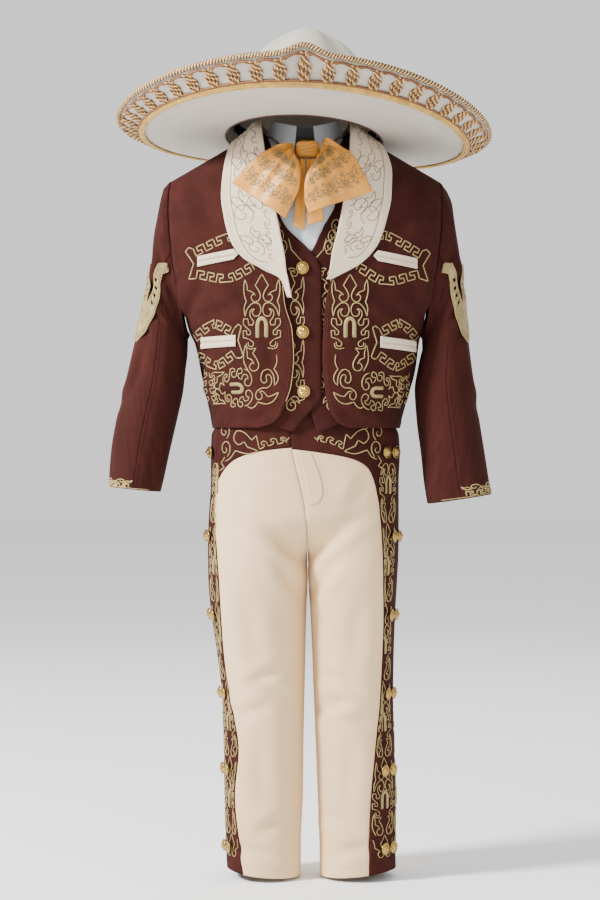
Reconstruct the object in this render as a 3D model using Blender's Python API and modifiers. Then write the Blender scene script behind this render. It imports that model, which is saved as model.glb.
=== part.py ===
"""Child's charro suit: sombrero, short jacket, waistcoat, shirt front, bow and trousers.

The suit is worn and hollow. It faces -Y, with +X on the viewer's right. The origin is at the base
of the neck. Every panel is a flat grid, bent by a function that reads short tables of sections, and
its wall is laid inside its outer face. Tables are in millimetres.
"""
import math

import bmesh
import bpy
from mathutils import Matrix, Vector

# ---------------------------------------------------------------- driving dimensions (millimetres)
MM = 0.001
SEAM = 0.3                 # clear gap between neighbouring pieces
EDGE = 0.55                # a panel stops this far short of a seam, so that bent walls stay clear
SUEDE_WALL = 1.8
VEST_WALL = 1.6
SHIRT_WALL = 1.2
SATIN_WALL = 2.0
TROUSER_WALL = 1.6
FELT_WALL = 3.0
COLLAR_WALL = 2.2
SHOULDER_SLOPE = 0.58      # drop of the shoulder line for each mm away from the neck point
NECK_HALF = 62.0           # half width of the jacket's neck
ROUNDNESS = 0.84           # power that squares the body's oval sections a little
NARROW = 0.03              # share of a sleeve panel's width that its seam columns take
ARMPIT = -250.0
ARMHOLE_GAP = 1.0          # the sleeve head stands this far off the jacket's armhole edge
TRUNK_RADIUS = 90.0        # about how far the jacket's side lies from its middle
SLEEVE_RADIUS = 38.0       # about how far a sleeve's seams lie from its middle
LEG_PANEL = 75.0           # about how wide a trouser panel is
WAIST_TOP = -337.0
WELT_LIFT = 2.2            # a pocket welt's outer face above the jacket
BUTTON_RADIUS = 8.5
BUTTON_HEIGHT = 4.6
BUTTONS = ((-3.6, -167.0), (-3.2, -250.5), (-1.9, -328.0))
DOME_BACK = 0.12           # how much of a ball's back half a button or stud keeps
STUD_RADIUS = 8.2
STUD_HEIGHT = 5.0
STUD_APART = 9.6           # half the distance between a pair's middles
STUD_ROWS = (-408.0, -520.0, -625.0, -730.0, -832.0, -936.0)
STUD_BAR = (8.0, 3.0, 1.8)
POSTS = 48                 # cord posts round the hat's rim
POST_SHARE = 0.42          # share of the pitch that a post takes
POST_LOW = 3.62            # stations of the trellis on the rim
POST_HIGH = 4.88
BRAID_STATION = 3.22
BRAID_RADIUS = 4.0
CORD_RADIUS = 3.5
SHOE_LIFT = 2.2            # how far the horseshoe's outer face stands over the sleeve

# Body of the jacket. A level is the height before the shoulder line slopes away.
JACKET = (
    ("level", "centre", "width", "front", "back"),
    (
        (-380, 1.0, 125.0, 92.5, 84.0),
        (-335, 3.0, 135.5, 97.5, 88.0),
        (-300, 4.0, 144.5, 101.0, 91.0),
        (-262, 2.5, 151.0, 105.0, 93.5),
        (-250, 1.0, 155.5, 106.0, 94.5),
        (-215, 0.0, 177.0, 108.0, 96.0),
        (-170, 0.0, 192.0, 108.0, 98.0),
        (-125, 0.0, 199.0, 105.0, 98.0),
        (-85, 0.0, 204.0, 99.0, 95.0),
        (-50, 0.0, 206.0, 91.0, 90.0),
        (-20, 0.0, 208.0, 80.0, 80.0),
        (5, 0.0, 208.0, 60.0, 60.0),
        (18, 0.0, 208.0, 36.0, 36.0),
        (24, 0.0, 208.0, 16.0, 16.0),
        (26, 0.0, 208.0, 0.9, 0.9),
    ),
)
JACKET_LEVELS = (-376, -369, -354, -318, -262, -250, -205, -150, -95, -50, -20, 5, 19, 26)

# Waistcoat, inside the jacket; the shirt is the same form, closer in.
VEST_TOP = 22.2
VEST = (
    ("level", "centre", "width", "front", "back"),
    (
        (-384, 1.0, 119.5, 87.0, 79.5),
        (-335, 2.0, 125.0, 91.0, 81.5),
        (-300, 2.0, 128.0, 94.5, 83.5),
        (-262, 1.5, 132.0, 98.5, 85.0),
        (-215, 0.0, 134.0, 101.0, 88.0),
        (-170, 0.0, 134.0, 101.0, 90.0),
        (-125, 0.0, 134.0, 97.5, 90.0),
        (-85, 0.0, 134.0, 91.0, 87.0),
        (-50, 0.0, 134.0, 82.0, 82.0),
        (-20, 0.0, 134.0, 71.5, 72.0),
        (3, 0.0, 134.0, 50.0, 49.5),
        (16, 0.0, 134.0, 25.0, 23.5),
        (VEST_TOP, 0.0, 134.0, 0.8, 0.8),
    ),
)

VEST_HEM = -368.0          # lower edge of the waistcoat between its front point and its side
VEST_SIDE_RISE = 16.0      # the edge rises this much more towards the side seam
VEST_LEVELS = (-381, -357, -333, -300, -250, -200, -160, -145, -130, -110, -85, -50, -15, 10, VEST_TOP)
# Edges of the waistcoat's fronts: the free edge on each side, and the side seam.
VEST_EDGES = (
    ("level", "free_l", "free_r", "side"),
    (
        (-381, -15.0, 16.0, 117.0),
        (-357, 4.0, 8.0, 118.0),
        (-333, 22.0, 2.0, 120.0),
        (-250, 22.5, 1.0, 126.0),
        (-200, 22.0, 1.0, 118.0),
        (-168, 21.0, 1.0, 109.0),
        (-153, 14.0, 4.5, 107.0),
        (-138, 0.5, 12.0, 105.0),
        (-110, -27.0, 25.5, 104.0),
        (-85, -37.0, 39.0, 104.0),
        (-50, -41.0, 45.0, 106.0),
        (-15, -42.0, 42.0, 109.0),
        (VEST_TOP, -54.0, 54.0, 112.0),
    ),
)
VEST_BACK_LEVELS = (-352, -305, -250, -170, -100, -50, -15, 10, VEST_TOP)
SHIRT_LEVELS = (-325, -250, -170, -100, -50, -15, 10, 21.6)
SHIRT_SINK = -6.1          # the shirt lies this far inside the waistcoat's form

# Edges of the jacket's fronts: how far the free edge and the armhole seam lie from the middle.
JACKET_EDGES = (
    ("level", "free_l", "free_r", "armhole"),
    (
        (-376, -62.0, 56.0, 0.0),
        (-371, -44.0, 45.0, 0.0),
        (-361, -33.0, 36.0, 0.0),
        (-344, -25.5, 29.0, 0.0),
        (-318, -17.5, 25.0, 0.0),
        (-285, -14.5, 22.5, 0.0),
        (-250, -16.5, 23.5, 155.5),
        (-215, -26.0, 26.0, 165.0),
        (-170, -31.0, 38.0, 171.5),
        (-125, -40.0, 49.0, 176.5),
        (-85, -48.0, 58.0, 179.0),
        (-50, -54.0, 61.0, 181.0),
        (-20, -58.0, 62.0, 182.0),
        (5, -61.0, 63.0, 182.0),
        (26, -63.0, 64.0, 180.0),
    ),
)

# Shawl collar. Levels above 26 run on down the back. The roll is the inner, turned edge.
COLLAR_L = (
    ("station", "roll_x", "roll_level", "roll_lift", "rise", "outer_x", "outer_level"),
    (
        (0, -18.0, -207.0, 2.8, 0.0, -23.5, -206.0),
        (1, -22.5, -182.0, 3.2, 0.0, -33.0, -182.0),
        (2, -24.5, -171.0, 4.0, 0.0, -55.0, -170.0),
        (3, -26.0, -155.0, 5.0, 0.0, -81.0, -151.0),
        (4, -31.0, -129.0, 6.0, 0.0, -97.5, -122.0),
        (5, -35.0, -108.0, 7.0, 0.0, -106.0, -84.0),
        (6, -42.0, -74.0, 8.0, 0.0, -110.0, -46.0),
        (7, -49.0, -34.0, 9.0, 0.0, -107.0, -10.0),
        (8, -56.0, 2.0, 10.0, 2.0, -101.0, 14.0),
        (9, -59.0, 25.0, 11.0, 3.0, -90.0, 31.0),
        (10, -47.0, 44.0, 10.0, 14.0, -69.0, 59.0),
        (11, 0.0, 50.0, 8.0, 22.0, 0.0, 88.0),
    ),
)
COLLAR_R = (
    ("station", "roll_x", "roll_level", "roll_lift", "rise", "outer_x", "outer_level"),
    (
        (0, 28.0, -183.0, 2.8, 0.0, 33.5, -183.0),
        (1, 30.5, -176.5, 3.2, 0.0, 47.0, -176.0),
        (2, 32.5, -164.0, 4.0, 0.0, 66.0, -165.5),
        (3, 35.0, -147.0, 5.0, 0.0, 84.0, -147.0),
        (4, 40.0, -128.0, 6.0, 0.0, 97.5, -122.0),
        (5, 44.5, -108.0, 7.0, 0.0, 107.0, -84.0),
        (6, 50.5, -74.0, 8.0, 0.0, 113.0, -46.0),
        (7, 56.0, -34.0, 9.0, 0.0, 114.0, -10.0),
        (8, 59.0, 2.0, 10.0, 2.0, 107.0, 14.0),
        (9, 60.0, 25.0, 11.0, 3.0, 91.0, 31.0),
        (10, 47.0, 44.0, 10.0, 14.0, 69.0, 59.0),
        (11, 0.0, 50.0, 8.0, 22.0, 0.0, 88.0),
    ),
)

# Sleeves, ring by ring from the armhole to the cuff: the outer and the inner point of each ring, its
# half depth, how far it hangs forward, and how far its front and back swell away from the body.
SLEEVE_L = (
    ("ring", "outer_x", "outer_z", "inner_x", "inner_z", "depth", "forward", "swell"),
    (
        (1, -190.0, -53.0, -158.0, -256.0, 58.0, 0.0, 9.0),
        (2, -195.0, -76.0, -158.0, -258.5, 57.5, 0.0, 12.0),
        (3, -202.0, -110.0, -158.0, -261.0, 57.0, 0.0, 12.0),
        (4, -206.0, -151.0, -158.0, -264.0, 56.0, 2.0, 10.0),
        (5, -213.0, -192.0, -158.0, -269.0, 54.5, 4.0, 7.0),
        (6, -222.5, -232.0, -158.5, -278.0, 52.5, 6.0, 4.0),
        (7, -233.5, -279.0, -160.5, -295.0, 50.0, 9.0, 1.0),
        (8, -243.0, -321.0, -163.5, -324.0, 48.0, 12.0, 0.0),
        (9, -253.5, -365.0, -171.5, -363.0, 46.0, 15.0, 0.0),
        (10, -260.5, -409.0, -181.5, -407.0, 43.0, 18.0, 0.0),
        (11, -262.5, -440.0, -188.5, -440.0, 41.0, 20.0, 0.0),
        (12, -263.0, -454.0, -193.5, -461.0, 40.0, 20.0, 0.0),
    ),
)
SLEEVE_R = (
    ("ring", "outer_x", "outer_z", "inner_x", "inner_z", "depth", "forward", "swell"),
    (
        (1, 191.0, -57.0, 158.0, -256.0, 58.0, 0.0, 9.0),
        (2, 197.5, -76.0, 158.0, -258.5, 57.5, 0.0, 12.0),
        (3, 202.0, -106.0, 158.0, -261.0, 57.0, 0.0, 12.0),
        (4, 208.0, -144.0, 158.0, -264.0, 56.0, 2.0, 10.0),
        (5, 212.5, -190.0, 158.0, -269.0, 54.5, 4.0, 7.0),
        (6, 217.5, -236.0, 155.5, -279.0, 52.5, 6.0, 4.0),
        (7, 223.0, -283.0, 151.8, -296.0, 50.0, 9.0, 1.0),
        (8, 228.5, -324.0, 147.5, -325.0, 48.0, 12.0, 0.0),
        (9, 235.0, -370.0, 150.0, -366.0, 46.0, 15.0, 0.0),
        (10, 241.5, -412.0, 155.5, -410.0, 43.0, 18.0, 0.0),
        (11, 246.5, -445.0, 159.5, -449.0, 41.0, 20.0, 0.0),
        (12, 250.0, -464.0, 164.0, -477.0, 40.0, 20.0, 0.0),
    ),
)

# Trousers, section by section. Strip is where the side strip's front edge runs.
TROUSERS = (
    ("height", "centre", "outer_l", "strip_l", "inner_l", "inner_r", "strip_r", "outer_r", "front", "back"),
    (
        (-990, 4.0, -104.5, -79.0, -5.5, 20.0, 84.0, 123.5, 56.0, 60.0),
        (-934, 4.0, -106.5, -86.0, -5.5, 19.5, 84.0, 122.0, 54.0, 58.0),
        (-870, 4.0, -108.0, -93.0, -2.7, 17.0, 86.0, 122.5, 55.0, 58.0),
        (-805, 4.0, -109.0, -87.0, -2.0, 14.5, 92.0, 120.5, 58.0, 60.0),
        (-740, 4.0, -111.5, -99.0, -0.8, 12.0, 99.0, 119.0, 61.0, 64.0),
        (-675, 4.0, -119.0, -108.0, 0.6, 9.5, 102.0, 120.0, 65.0, 70.0),
        (-620, 4.0, -127.0, -111.0, 1.8, 7.0, 103.0, 122.0, 71.0, 78.0),
        (-578, 4.0, -130.5, -114.0, 3.7, 4.3, 103.0, 124.5, 76.0, 84.0),
        (-530, 3.0, -131.0, -118.0, 2.8, 3.2, 102.0, 126.5, 80.0, 88.0),
        (-490, 1.0, -129.5, -120.5, 0.8, 1.2, 99.5, 126.5, 82.0, 90.0),
        (-448, -7.0, -127.0, -119.0, -1.0, 3.0, 97.0, 126.5, 82.5, 89.0),
        (-410, -16.0, -127.0, -118.0, -5.0, 0.0, 97.0, 128.0, 82.0, 86.0),
        (-384, -19.0, -126.0, -117.0, -6.0, -2.0, 97.0, 126.5, 82.3, 80.3),
        (-372, -19.0, -119.5, -110.0, -6.0, -2.0, 92.0, 121.0, 82.1, 74.4),
        (-337, -19.0, -107.0, -98.0, -6.0, -2.0, 83.0, 109.0, 78.0, 69.0),
    ),
)
LEG_ROWS = (-977, -934, -885, -835, -785, -735, -685, -635, -585, -545, -510)
STRIP_ROWS = LEG_ROWS + (-482, -450, -410, -372, WAIST_TOP)
STRIP_COLUMNS = 4
LEG_TOP = -490.0           # above this the two legs are one body
LEG_SPLIT = -578.0         # below this each leg is a tube of its own
# Horseshoe: v runs round it from its back end to its front end. Then its inner and its outer edge:
# degrees in front of the sleeve's outer line, and height.
SHOE = (
    ("v", "in_turn", "in_z", "out_turn", "out_z"),
    (
        (0.0, 46.0, -157.0, 9.0, -157.0),
        (0.07, 45.5, -164.0, 9.0, -168.0),
        (0.085, 45.5, -166.0, 15.0, -171.0),
        (0.2, 46.0, -178.0, 14.0, -188.0),
        (0.35, 49.0, -193.0, 12.0, -212.0),
        (0.43, 52.0, -203.0, 14.0, -236.0),
        (0.5, 56.0, -208.0, 34.0, -262.0),
        (0.57, 59.0, -205.0, 62.0, -246.0),
        (0.65, 63.0, -199.0, 78.0, -224.0),
        (0.8, 69.0, -184.0, 90.0, -196.0),
        (0.915, 73.5, -171.0, 91.0, -172.0),
        (0.93, 74.0, -169.0, 97.0, -169.0),
        (1.0, 79.0, -157.0, 94.0, -157.0),
    ),
)
STRIP_BACK = 30.0          # degrees behind the outseam where the side strip ends
# Degrees in front of the outseam where each row of studs sits, from the top row down.
STUD_TURNS = {-1: (14.0, 15.0, 17.0, 18.0, 20.0, 20.0), 1: (42.0, 27.0, 25.0, 28.0, 38.0, 39.0)}

# Lower edge of the front yoke, from the middle seam (0) to the side strip (1).
YOKE = (
    ("across", "edge_l", "edge_r"),
    (
        (0.0, -402.0, -404.0),
        (0.25, -406.0, -409.0),
        (0.45, -411.0, -413.0),
        (0.63, -418.0, -418.0),
        (0.81, -431.0, -428.0),
        (0.93, -445.0, -449.0),
        (1.0, -458.0, -482.0),
    ),
)
BACK_YOKE_EDGE = -418.0
WAISTBAND = 24.0
HEM = -977.0
HEM_RISE = 10.0            # the hem rises this much at the outseam

# Sombrero, in its own sections from the head opening outwards. Sides are along X, ends along Y.
BRIM = (
    ("station", "side", "end", "level", "tilt", "saddle"),
    (
        (0, 105.0, 112.0, 13.0, 18.5, -0.5),
        (1, 140.0, 150.0, 15.0, 21.0, 1.0),
        (2, 182.0, 194.0, 16.5, 22.5, 4.0),
        (3, 214.5, 231.0, 19.5, 22.5, 7.5),
        (3.35, 220.5, 238.0, 21.5, 23.0, 9.0),
        (4, 230.5, 248.0, 28.5, 26.0, 11.5),
        (5, 246.0, 262.0, 38.0, 28.0, 14.5),
    ),
)
HAT_ROLL = 0.046           # the hat is a little higher on the viewer's left
HAT_MIDDLE = -1.5
RIM_PEAK = 11.0            # the rim rises to a small peak in front
RIM_PEAK_HALF = 21.0
CROWN = (
    ("step", "radius", "height", "back"),
    (
        (0, 1.0, 0.0, 0.0),
        (1, 0.96, 22.0, 2.0),
        (2, 0.87, 60.0, 6.0),
        (3, 0.74, 96.0, 12.0),
        (4, 0.57, 122.0, 17.0),
        (5, 0.38, 142.0, 20.0),
        (6, 0.21, 155.0, 21.0),
        (7, 0.06, 161.0, 22.0),
    ),
)

# Bow wings: upper and lower outline from the knot to the hem, and how far they stand forward.
WING_L = (
    ("along", "top_x", "top_z", "low_x", "low_z", "stand"),
    (
        (0.0, -15.0, -1.0, -14.3, -19.0, 6.0),
        (0.2, -30.0, -2.5, -7.0, -30.5, 19.0),
        (0.4, -48.5, -11.0, -5.5, -45.5, 22.0),
        (0.6, -65.5, -23.0, -7.0, -63.5, 20.0),
        (0.8, -81.5, -38.0, -16.0, -84.0, 16.0),
        (1.0, -96.5, -55.0, -25.5, -104.0, 12.0),
    ),
)
WING_R = (
    ("along", "top_x", "top_z", "low_x", "low_z", "stand"),
    (
        (0.0, 21.4, 0.5, 20.8, -18.0, 4.0),
        (0.2, 28.5, 4.5, 11.0, -31.0, 19.0),
        (0.4, 45.5, -6.0, 1.0, -47.5, 22.0),
        (0.6, 62.5, -18.0, -1.5, -63.5, 20.0),
        (0.8, 76.0, -41.5, -1.0, -80.0, 16.0),
        (1.0, 88.5, -67.5, 4.0, -97.0, 12.0),
    ),
)

# Pocket welts: the middle line's inner and outer end, the height, and how far the inner end leans.
WELTS = (
    ("name", "inner_x", "inner_z", "outer_x", "outer_z", "height", "lean"),
    (
        ("pocket_welt_upper_l", -87.0, -149.0, -141.0, -157.5, 14.5, 12.0),
        ("pocket_welt_upper_r", 89.0, -151.0, 147.0, -160.0, 14.5, 12.0),
        ("pocket_welt_lower_l", -90.5, -261.5, -137.5, -263.0, 15.5, 0.0),
        ("pocket_welt_lower_r", 98.0, -263.0, 147.0, -267.5, 15.5, 0.0),
    ),
)

SUEDE = ((0.105, 0.028, 0.021), 0.85, 0.0)
CREAM = ((0.74, 0.66, 0.53), 0.8, 0.0)
WHITE = ((0.86, 0.86, 0.86), 0.8, 0.0)
PEACH = ((0.78, 0.46, 0.27), 0.42, 0.0)
GILT = ((0.76, 0.5, 0.16), 0.3, 1.0)
CORD = ((0.5, 0.29, 0.12), 0.6, 0.0)
NAVY = ((0.02, 0.022, 0.04), 0.8, 0.0)


# ---------------------------------------------------------------- tables and small helpers
def read(table, at, name):
    """Value of the named column where the first column is `at`, along a smooth curve."""
    names, rows = table
    column = names.index(name)
    keys = [row[0] for row in rows]
    values = [row[column] for row in rows]
    if at <= keys[0]:
        return values[0]
    if at >= keys[-1]:
        return values[-1]
    low = max(i for i, key in enumerate(keys) if key <= at)
    span = keys[low + 1] - keys[low]
    t = (at - keys[low]) / span
    slopes = [(values[i + 1] - values[i]) / (keys[i + 1] - keys[i]) for i in range(len(keys) - 1)]

    def tangent(i):
        if i == 0 or i == len(keys) - 1:
            return slopes[min(i, len(slopes) - 1)]
        before = slopes[i - 1]
        after = slopes[i]
        if before * after <= 0.0:
            return 0.0
        return 2.0 * before * after / (before + after)

    rise = values[low + 1] - values[low]
    start = tangent(low) * span
    end = tangent(low + 1) * span
    bend = (3 * rise - 2 * start - end) * t**2 + (start + end - 2 * rise) * t**3
    return values[low] + start * t + bend


def blend(a, b, t):
    return a + (b - a) * t


def ease(t):
    t = min(max(t, 0.0), 1.0)
    return t * t * (3.0 - 2.0 * t)


def narrow_ends(u, count):
    """Moves u so that the first and last of count columns are narrow and lie flush along their seams."""
    column = round(u * count)
    if column in (0, count):
        return float(column > 0)
    return blend(NARROW, 1.0 - NARROW, (column - 1) / (count - 2))


def signed_power(value, power):
    return math.copysign(abs(value) ** power, value)


def lifted(place, a, b, lift, step_a=0.4, step_b=0.4, hand=1.0):
    """The point place(a, b), moved along the surface's own normal. Hand picks the outer side."""
    along_a = place(a + step_a, b) - place(a - step_a, b)
    along_b = place(a, b + step_b) - place(a, b - step_b)
    return place(a, b) + along_a.cross(along_b).normalized() * lift * hand


# ---------------------------------------------------------------- the forms
def trunk_point(table, turn, level):
    """A point on the body's form: turn in degrees from the front, level over the shoulder and down."""
    top = table[1][-1][0]
    over = level > top
    if over:
        level = 2 * top - level
        turn = math.copysign(180.0, turn) - turn if turn else 180.0
    a = math.radians(turn)
    x = read(table, level, "centre") + read(table, level, "width") * signed_power(math.sin(a), ROUNDNESS)
    side = "front" if math.cos(a) > 0 else "back"
    y = -read(table, level, side) * signed_power(math.cos(a), ROUNDNESS)
    ramp = ease((level - ARMPIT) / (top - ARMPIT))
    z = level - SHOULDER_SLOPE * max(abs(x) - NECK_HALF, 0.0) * ramp
    return Vector((x, y, z))


def turn_at(table, x, level):
    """Degrees from the front at which the form's section reaches x."""
    top = table[1][-1][0]
    if level > top:
        level = 2 * top - level
    part = (x - read(table, level, "centre")) / read(table, level, "width")
    part = min(max(part, -1.0), 1.0)
    return math.degrees(math.asin(signed_power(part, 1.0 / ROUNDNESS)))


def trunk(table, turn, level, lift=0.0):
    """A point on the form, moved out by lift."""
    if lift == 0.0:
        return trunk_point(table, turn, level)
    return lifted(lambda a, b: trunk_point(table, a, b), turn, level, lift)


def on_front(table, x, z, lift):
    """The point of the form's front that has this x and this height, moved out by lift."""
    top = table[1][-1][0]
    level = z
    for _ in range(12):
        drop = SHOULDER_SLOPE * max(abs(x) - NECK_HALF, 0.0)
        level = z + drop * ease((level - ARMPIT) / (top - ARMPIT))
    level = min(level, top - 1.0)
    return trunk(table, turn_at(table, x, level), level, lift)


def armhole(side, angle):
    """The armhole seam: angle 0 at the shoulder, 90 in front, 180 at the armpit, 270 behind."""
    top = JACKET[1][-1][0]
    a = math.radians(angle)
    level = blend(ARMPIT, top, 0.5 + 0.5 * math.cos(a))
    turn = turn_at(JACKET, side * armhole_x(level), level)
    if math.sin(a) < 0:
        turn = side * 180.0 - turn
    point = trunk_point(JACKET, turn, level)
    point.x += side * ARMHOLE_GAP
    return point


def armhole_x(level):
    return read(JACKET_EDGES, max(level, ARMPIT), "armhole")


def sleeve_point(side, angle, ring):
    """A point on the sleeve: angle as for the armhole, ring 0 at the armhole and 12 at the hem."""
    table = SLEEVE_L if side < 0 else SLEEVE_R
    a = math.radians(angle)
    at = max(ring, 1.0)
    outer = Vector((read(table, at, "outer_x"), 0.0, read(table, at, "outer_z")))
    inner = Vector((read(table, at, "inner_x"), 0.0, read(table, at, "inner_z")))
    middle = (outer + inner) / 2
    point = middle + (outer - middle) * signed_power(math.cos(a), 0.92)
    point.x += side * read(table, at, "swell") * math.sin(a) ** 2
    point.y = -read(table, at, "forward") - read(table, at, "depth") * signed_power(math.sin(a), 0.92)
    if ring < 1.0:
        point = armhole(side, angle).lerp(point, max(ring, 0.0))
    return point


def sleeve(side, angle, ring, lift=0.0):
    if lift == 0.0:
        return sleeve_point(side, angle, ring)
    return lifted(lambda a, b: sleeve_point(side, a, b), angle, ring, lift, 0.4, 0.02, side)


def shoe_spot(side, u, v):
    """Angle and ring of the sleeve at a place of its horseshoe: u across the branch, v round it."""
    turn = blend(read(SHOE, v, "in_turn"), read(SHOE, v, "out_turn"), u)
    height = blend(read(SHOE, v, "in_z"), read(SHOE, v, "out_z"), u)
    low = 1.0
    high = 9.0
    for _ in range(12):
        ring = (low + high) / 2
        if sleeve_point(side, turn, ring).z > height:
            low = ring
        else:
            high = ring
    return turn, ring


def leg_point(side, across, height):
    """A point on a trouser leg. Across is 0 at the front seam or inseam, 1 and 2 at the edges of the
    side strip, and 3 at the back seam or inseam."""
    tag = "_l" if side < 0 else "_r"
    outer = read(TROUSERS, height, "outer" + tag)
    strip = read(TROUSERS, height, "strip" + tag)
    inner = read(TROUSERS, height, "inner" + tag)
    front = read(TROUSERS, height, "front")
    back = read(TROUSERS, height, "back")
    centre = read(TROUSERS, height, "centre") + side * SEAM / 2
    panel = min(max(int(across), 0), 2)
    part = across - panel

    edge = math.degrees(math.asin(abs((strip - centre) / (outer - centre)) ** (1 / ROUNDNESS)))
    stops = (0.0, edge, 90.0 + STRIP_BACK, 180.0)
    a = math.radians(blend(stops[panel], stops[panel + 1], part))
    depth = front if math.cos(a) > 0 else back
    body = Vector((
        centre + (outer - centre) * signed_power(math.sin(a), ROUNDNESS),
        -depth * signed_power(math.cos(a), ROUNDNESS),
        height,
    ))
    middle = (outer + inner) / 2
    half = (outer - inner) / 2
    edge = 180.0 - math.degrees(math.acos(min(max((strip - middle) / half, -1.0), 1.0)))
    stops = (0.0, edge, 180.0 + STRIP_BACK, 360.0)
    a = math.radians(blend(stops[panel], stops[panel + 1], part))
    depth = front if math.sin(a) > 0 else back
    leg = Vector((
        middle - half * signed_power(math.cos(a), 0.95),
        -depth * signed_power(math.sin(a), 0.95),
        height,
    ))
    return body.lerp(leg, tube_share(height))


def tube_share(height):
    """How far the trousers are two separate legs here: 0 on the body, 1 below the crotch."""
    return ease((LEG_TOP - height) / (LEG_TOP - LEG_SPLIT))


def leg(side, across, height, lift=0.0):
    if lift == 0.0:
        return leg_point(side, across, height)
    return lifted(lambda a, b: leg_point(side, a, b), across, height, lift, 0.01, 0.4, side)


def brim_point(turn, station):
    """A point on the hat's brim: turn in degrees from the front, station 0 at the head opening."""
    a = math.radians(turn)
    x = read(BRIM, station, "side") * math.sin(a)
    y = -read(BRIM, station, "end") * math.cos(a)
    z = read(BRIM, station, "level") + read(BRIM, station, "tilt") * math.cos(a)
    z += read(BRIM, station, "saddle") * math.cos(2 * a) - HAT_ROLL * x
    if y < 0:
        z += RIM_PEAK * ease((station - 3.35) / 1.65) * math.exp(-(x / RIM_PEAK_HALF) ** 2)
    return Vector((x + HAT_MIDDLE, y, z))


def crowded(u):
    """Degrees round the hat for u from 0 to 1, with more sections near the front."""
    return 360.0 * u - 25.0 * math.sin(2.0 * math.pi * u)


def brim(turn, station, lift=0.0):
    """A point on the underside of the brim and the outside of its rim, moved out by lift."""
    if lift == 0.0:
        return brim_point(turn, station)
    return lifted(brim_point, turn, station, lift, 0.4, 0.01)


# ---------------------------------------------------------------- builders
def material(name, look):
    made = bpy.data.materials.get(name)
    if made:
        return made
    colour, rough, metal = look
    made = bpy.data.materials.new(name)
    made.use_nodes = True
    shader = made.node_tree.nodes["Principled BSDF"]
    shader.inputs["Base Color"].default_value = (*colour, 1.0)
    shader.inputs["Roughness"].default_value = rough
    shader.inputs["Metallic"].default_value = metal
    made.diffuse_color = (*colour, 1.0)
    return made


def add_object(name, mesh, look, parts):
    made = bpy.data.objects.new(name, mesh)
    mesh.materials.clear()
    mesh.materials.append(look)
    mesh.shade_smooth()
    parts.objects.link(made)
    return made


def sheet(name, place, across, along, wall, look, parts, inside, ring=False):
    """A cloth panel: a grid bent by place(u, v), both 0 to 1, with its wall on the side of `inside`."""
    bm = bmesh.new()
    bmesh.ops.create_grid(bm, x_segments=across, y_segments=along, size=0.5)
    for vert in bm.verts:
        u = round((vert.co.x + 0.5) * across) / across
        v = round((vert.co.y + 0.5) * along) / along
        vert.co = place(u, v) * MM
    if ring:
        bmesh.ops.remove_doubles(bm, verts=bm.verts, dist=0.00001)
    bm.normal_update()
    facing = sum((f.calc_center_median() - inside * MM).dot(f.normal) * f.calc_area() for f in bm.faces)
    if facing < 0:
        bmesh.ops.reverse_faces(bm, faces=bm.faces)
    mesh = bpy.data.meshes.new(name)
    bm.to_mesh(mesh)
    bm.free()
    made = add_object(name, mesh, look, parts)
    solid = made.modifiers.new("wall", "SOLIDIFY")
    solid.thickness = wall * MM
    solid.offset = -1.0
    solid.use_quality_normals = True
    return made


def dome_mesh(name, radius, height, segments, rings):
    """A button or stud: a ball whose back half is pressed flat. Its front faces +Z."""
    bm = bmesh.new()
    bmesh.ops.create_uvsphere(bm, u_segments=segments, v_segments=rings, radius=radius * MM)
    for vert in bm.verts:
        vert.co.z *= height / radius if vert.co.z > 0 else DOME_BACK
    mesh = bpy.data.meshes.new(name)
    bm.to_mesh(mesh)
    bm.free()
    return mesh


def standing_on(point, normal, up=Vector((0, 0, 1))):
    """Placement with +Z along the normal and +X level."""
    across = up.cross(normal).normalized()
    rise = normal.cross(across)
    turn = Matrix((across, rise, normal)).transposed().to_4x4()
    return Matrix.Translation(point * MM) @ turn


def ring_cord(name, centre, radius, count, sides, look, parts):
    """A closed cord through centre(turn), a curve with a round bevel."""
    curve = bpy.data.curves.new(name, "CURVE")
    curve.dimensions = "3D"
    curve.bevel_depth = radius * MM
    curve.bevel_resolution = sides
    spline = curve.splines.new("POLY")
    spline.points.add(count - 1)
    for i, point in enumerate(spline.points):
        point.co = (*(centre(crowded(i / count)) * MM), 1.0)
    spline.use_cyclic_u = True
    made = bpy.data.objects.new(name, curve)
    curve.materials.append(look)
    parts.objects.link(made)
    return made


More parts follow.
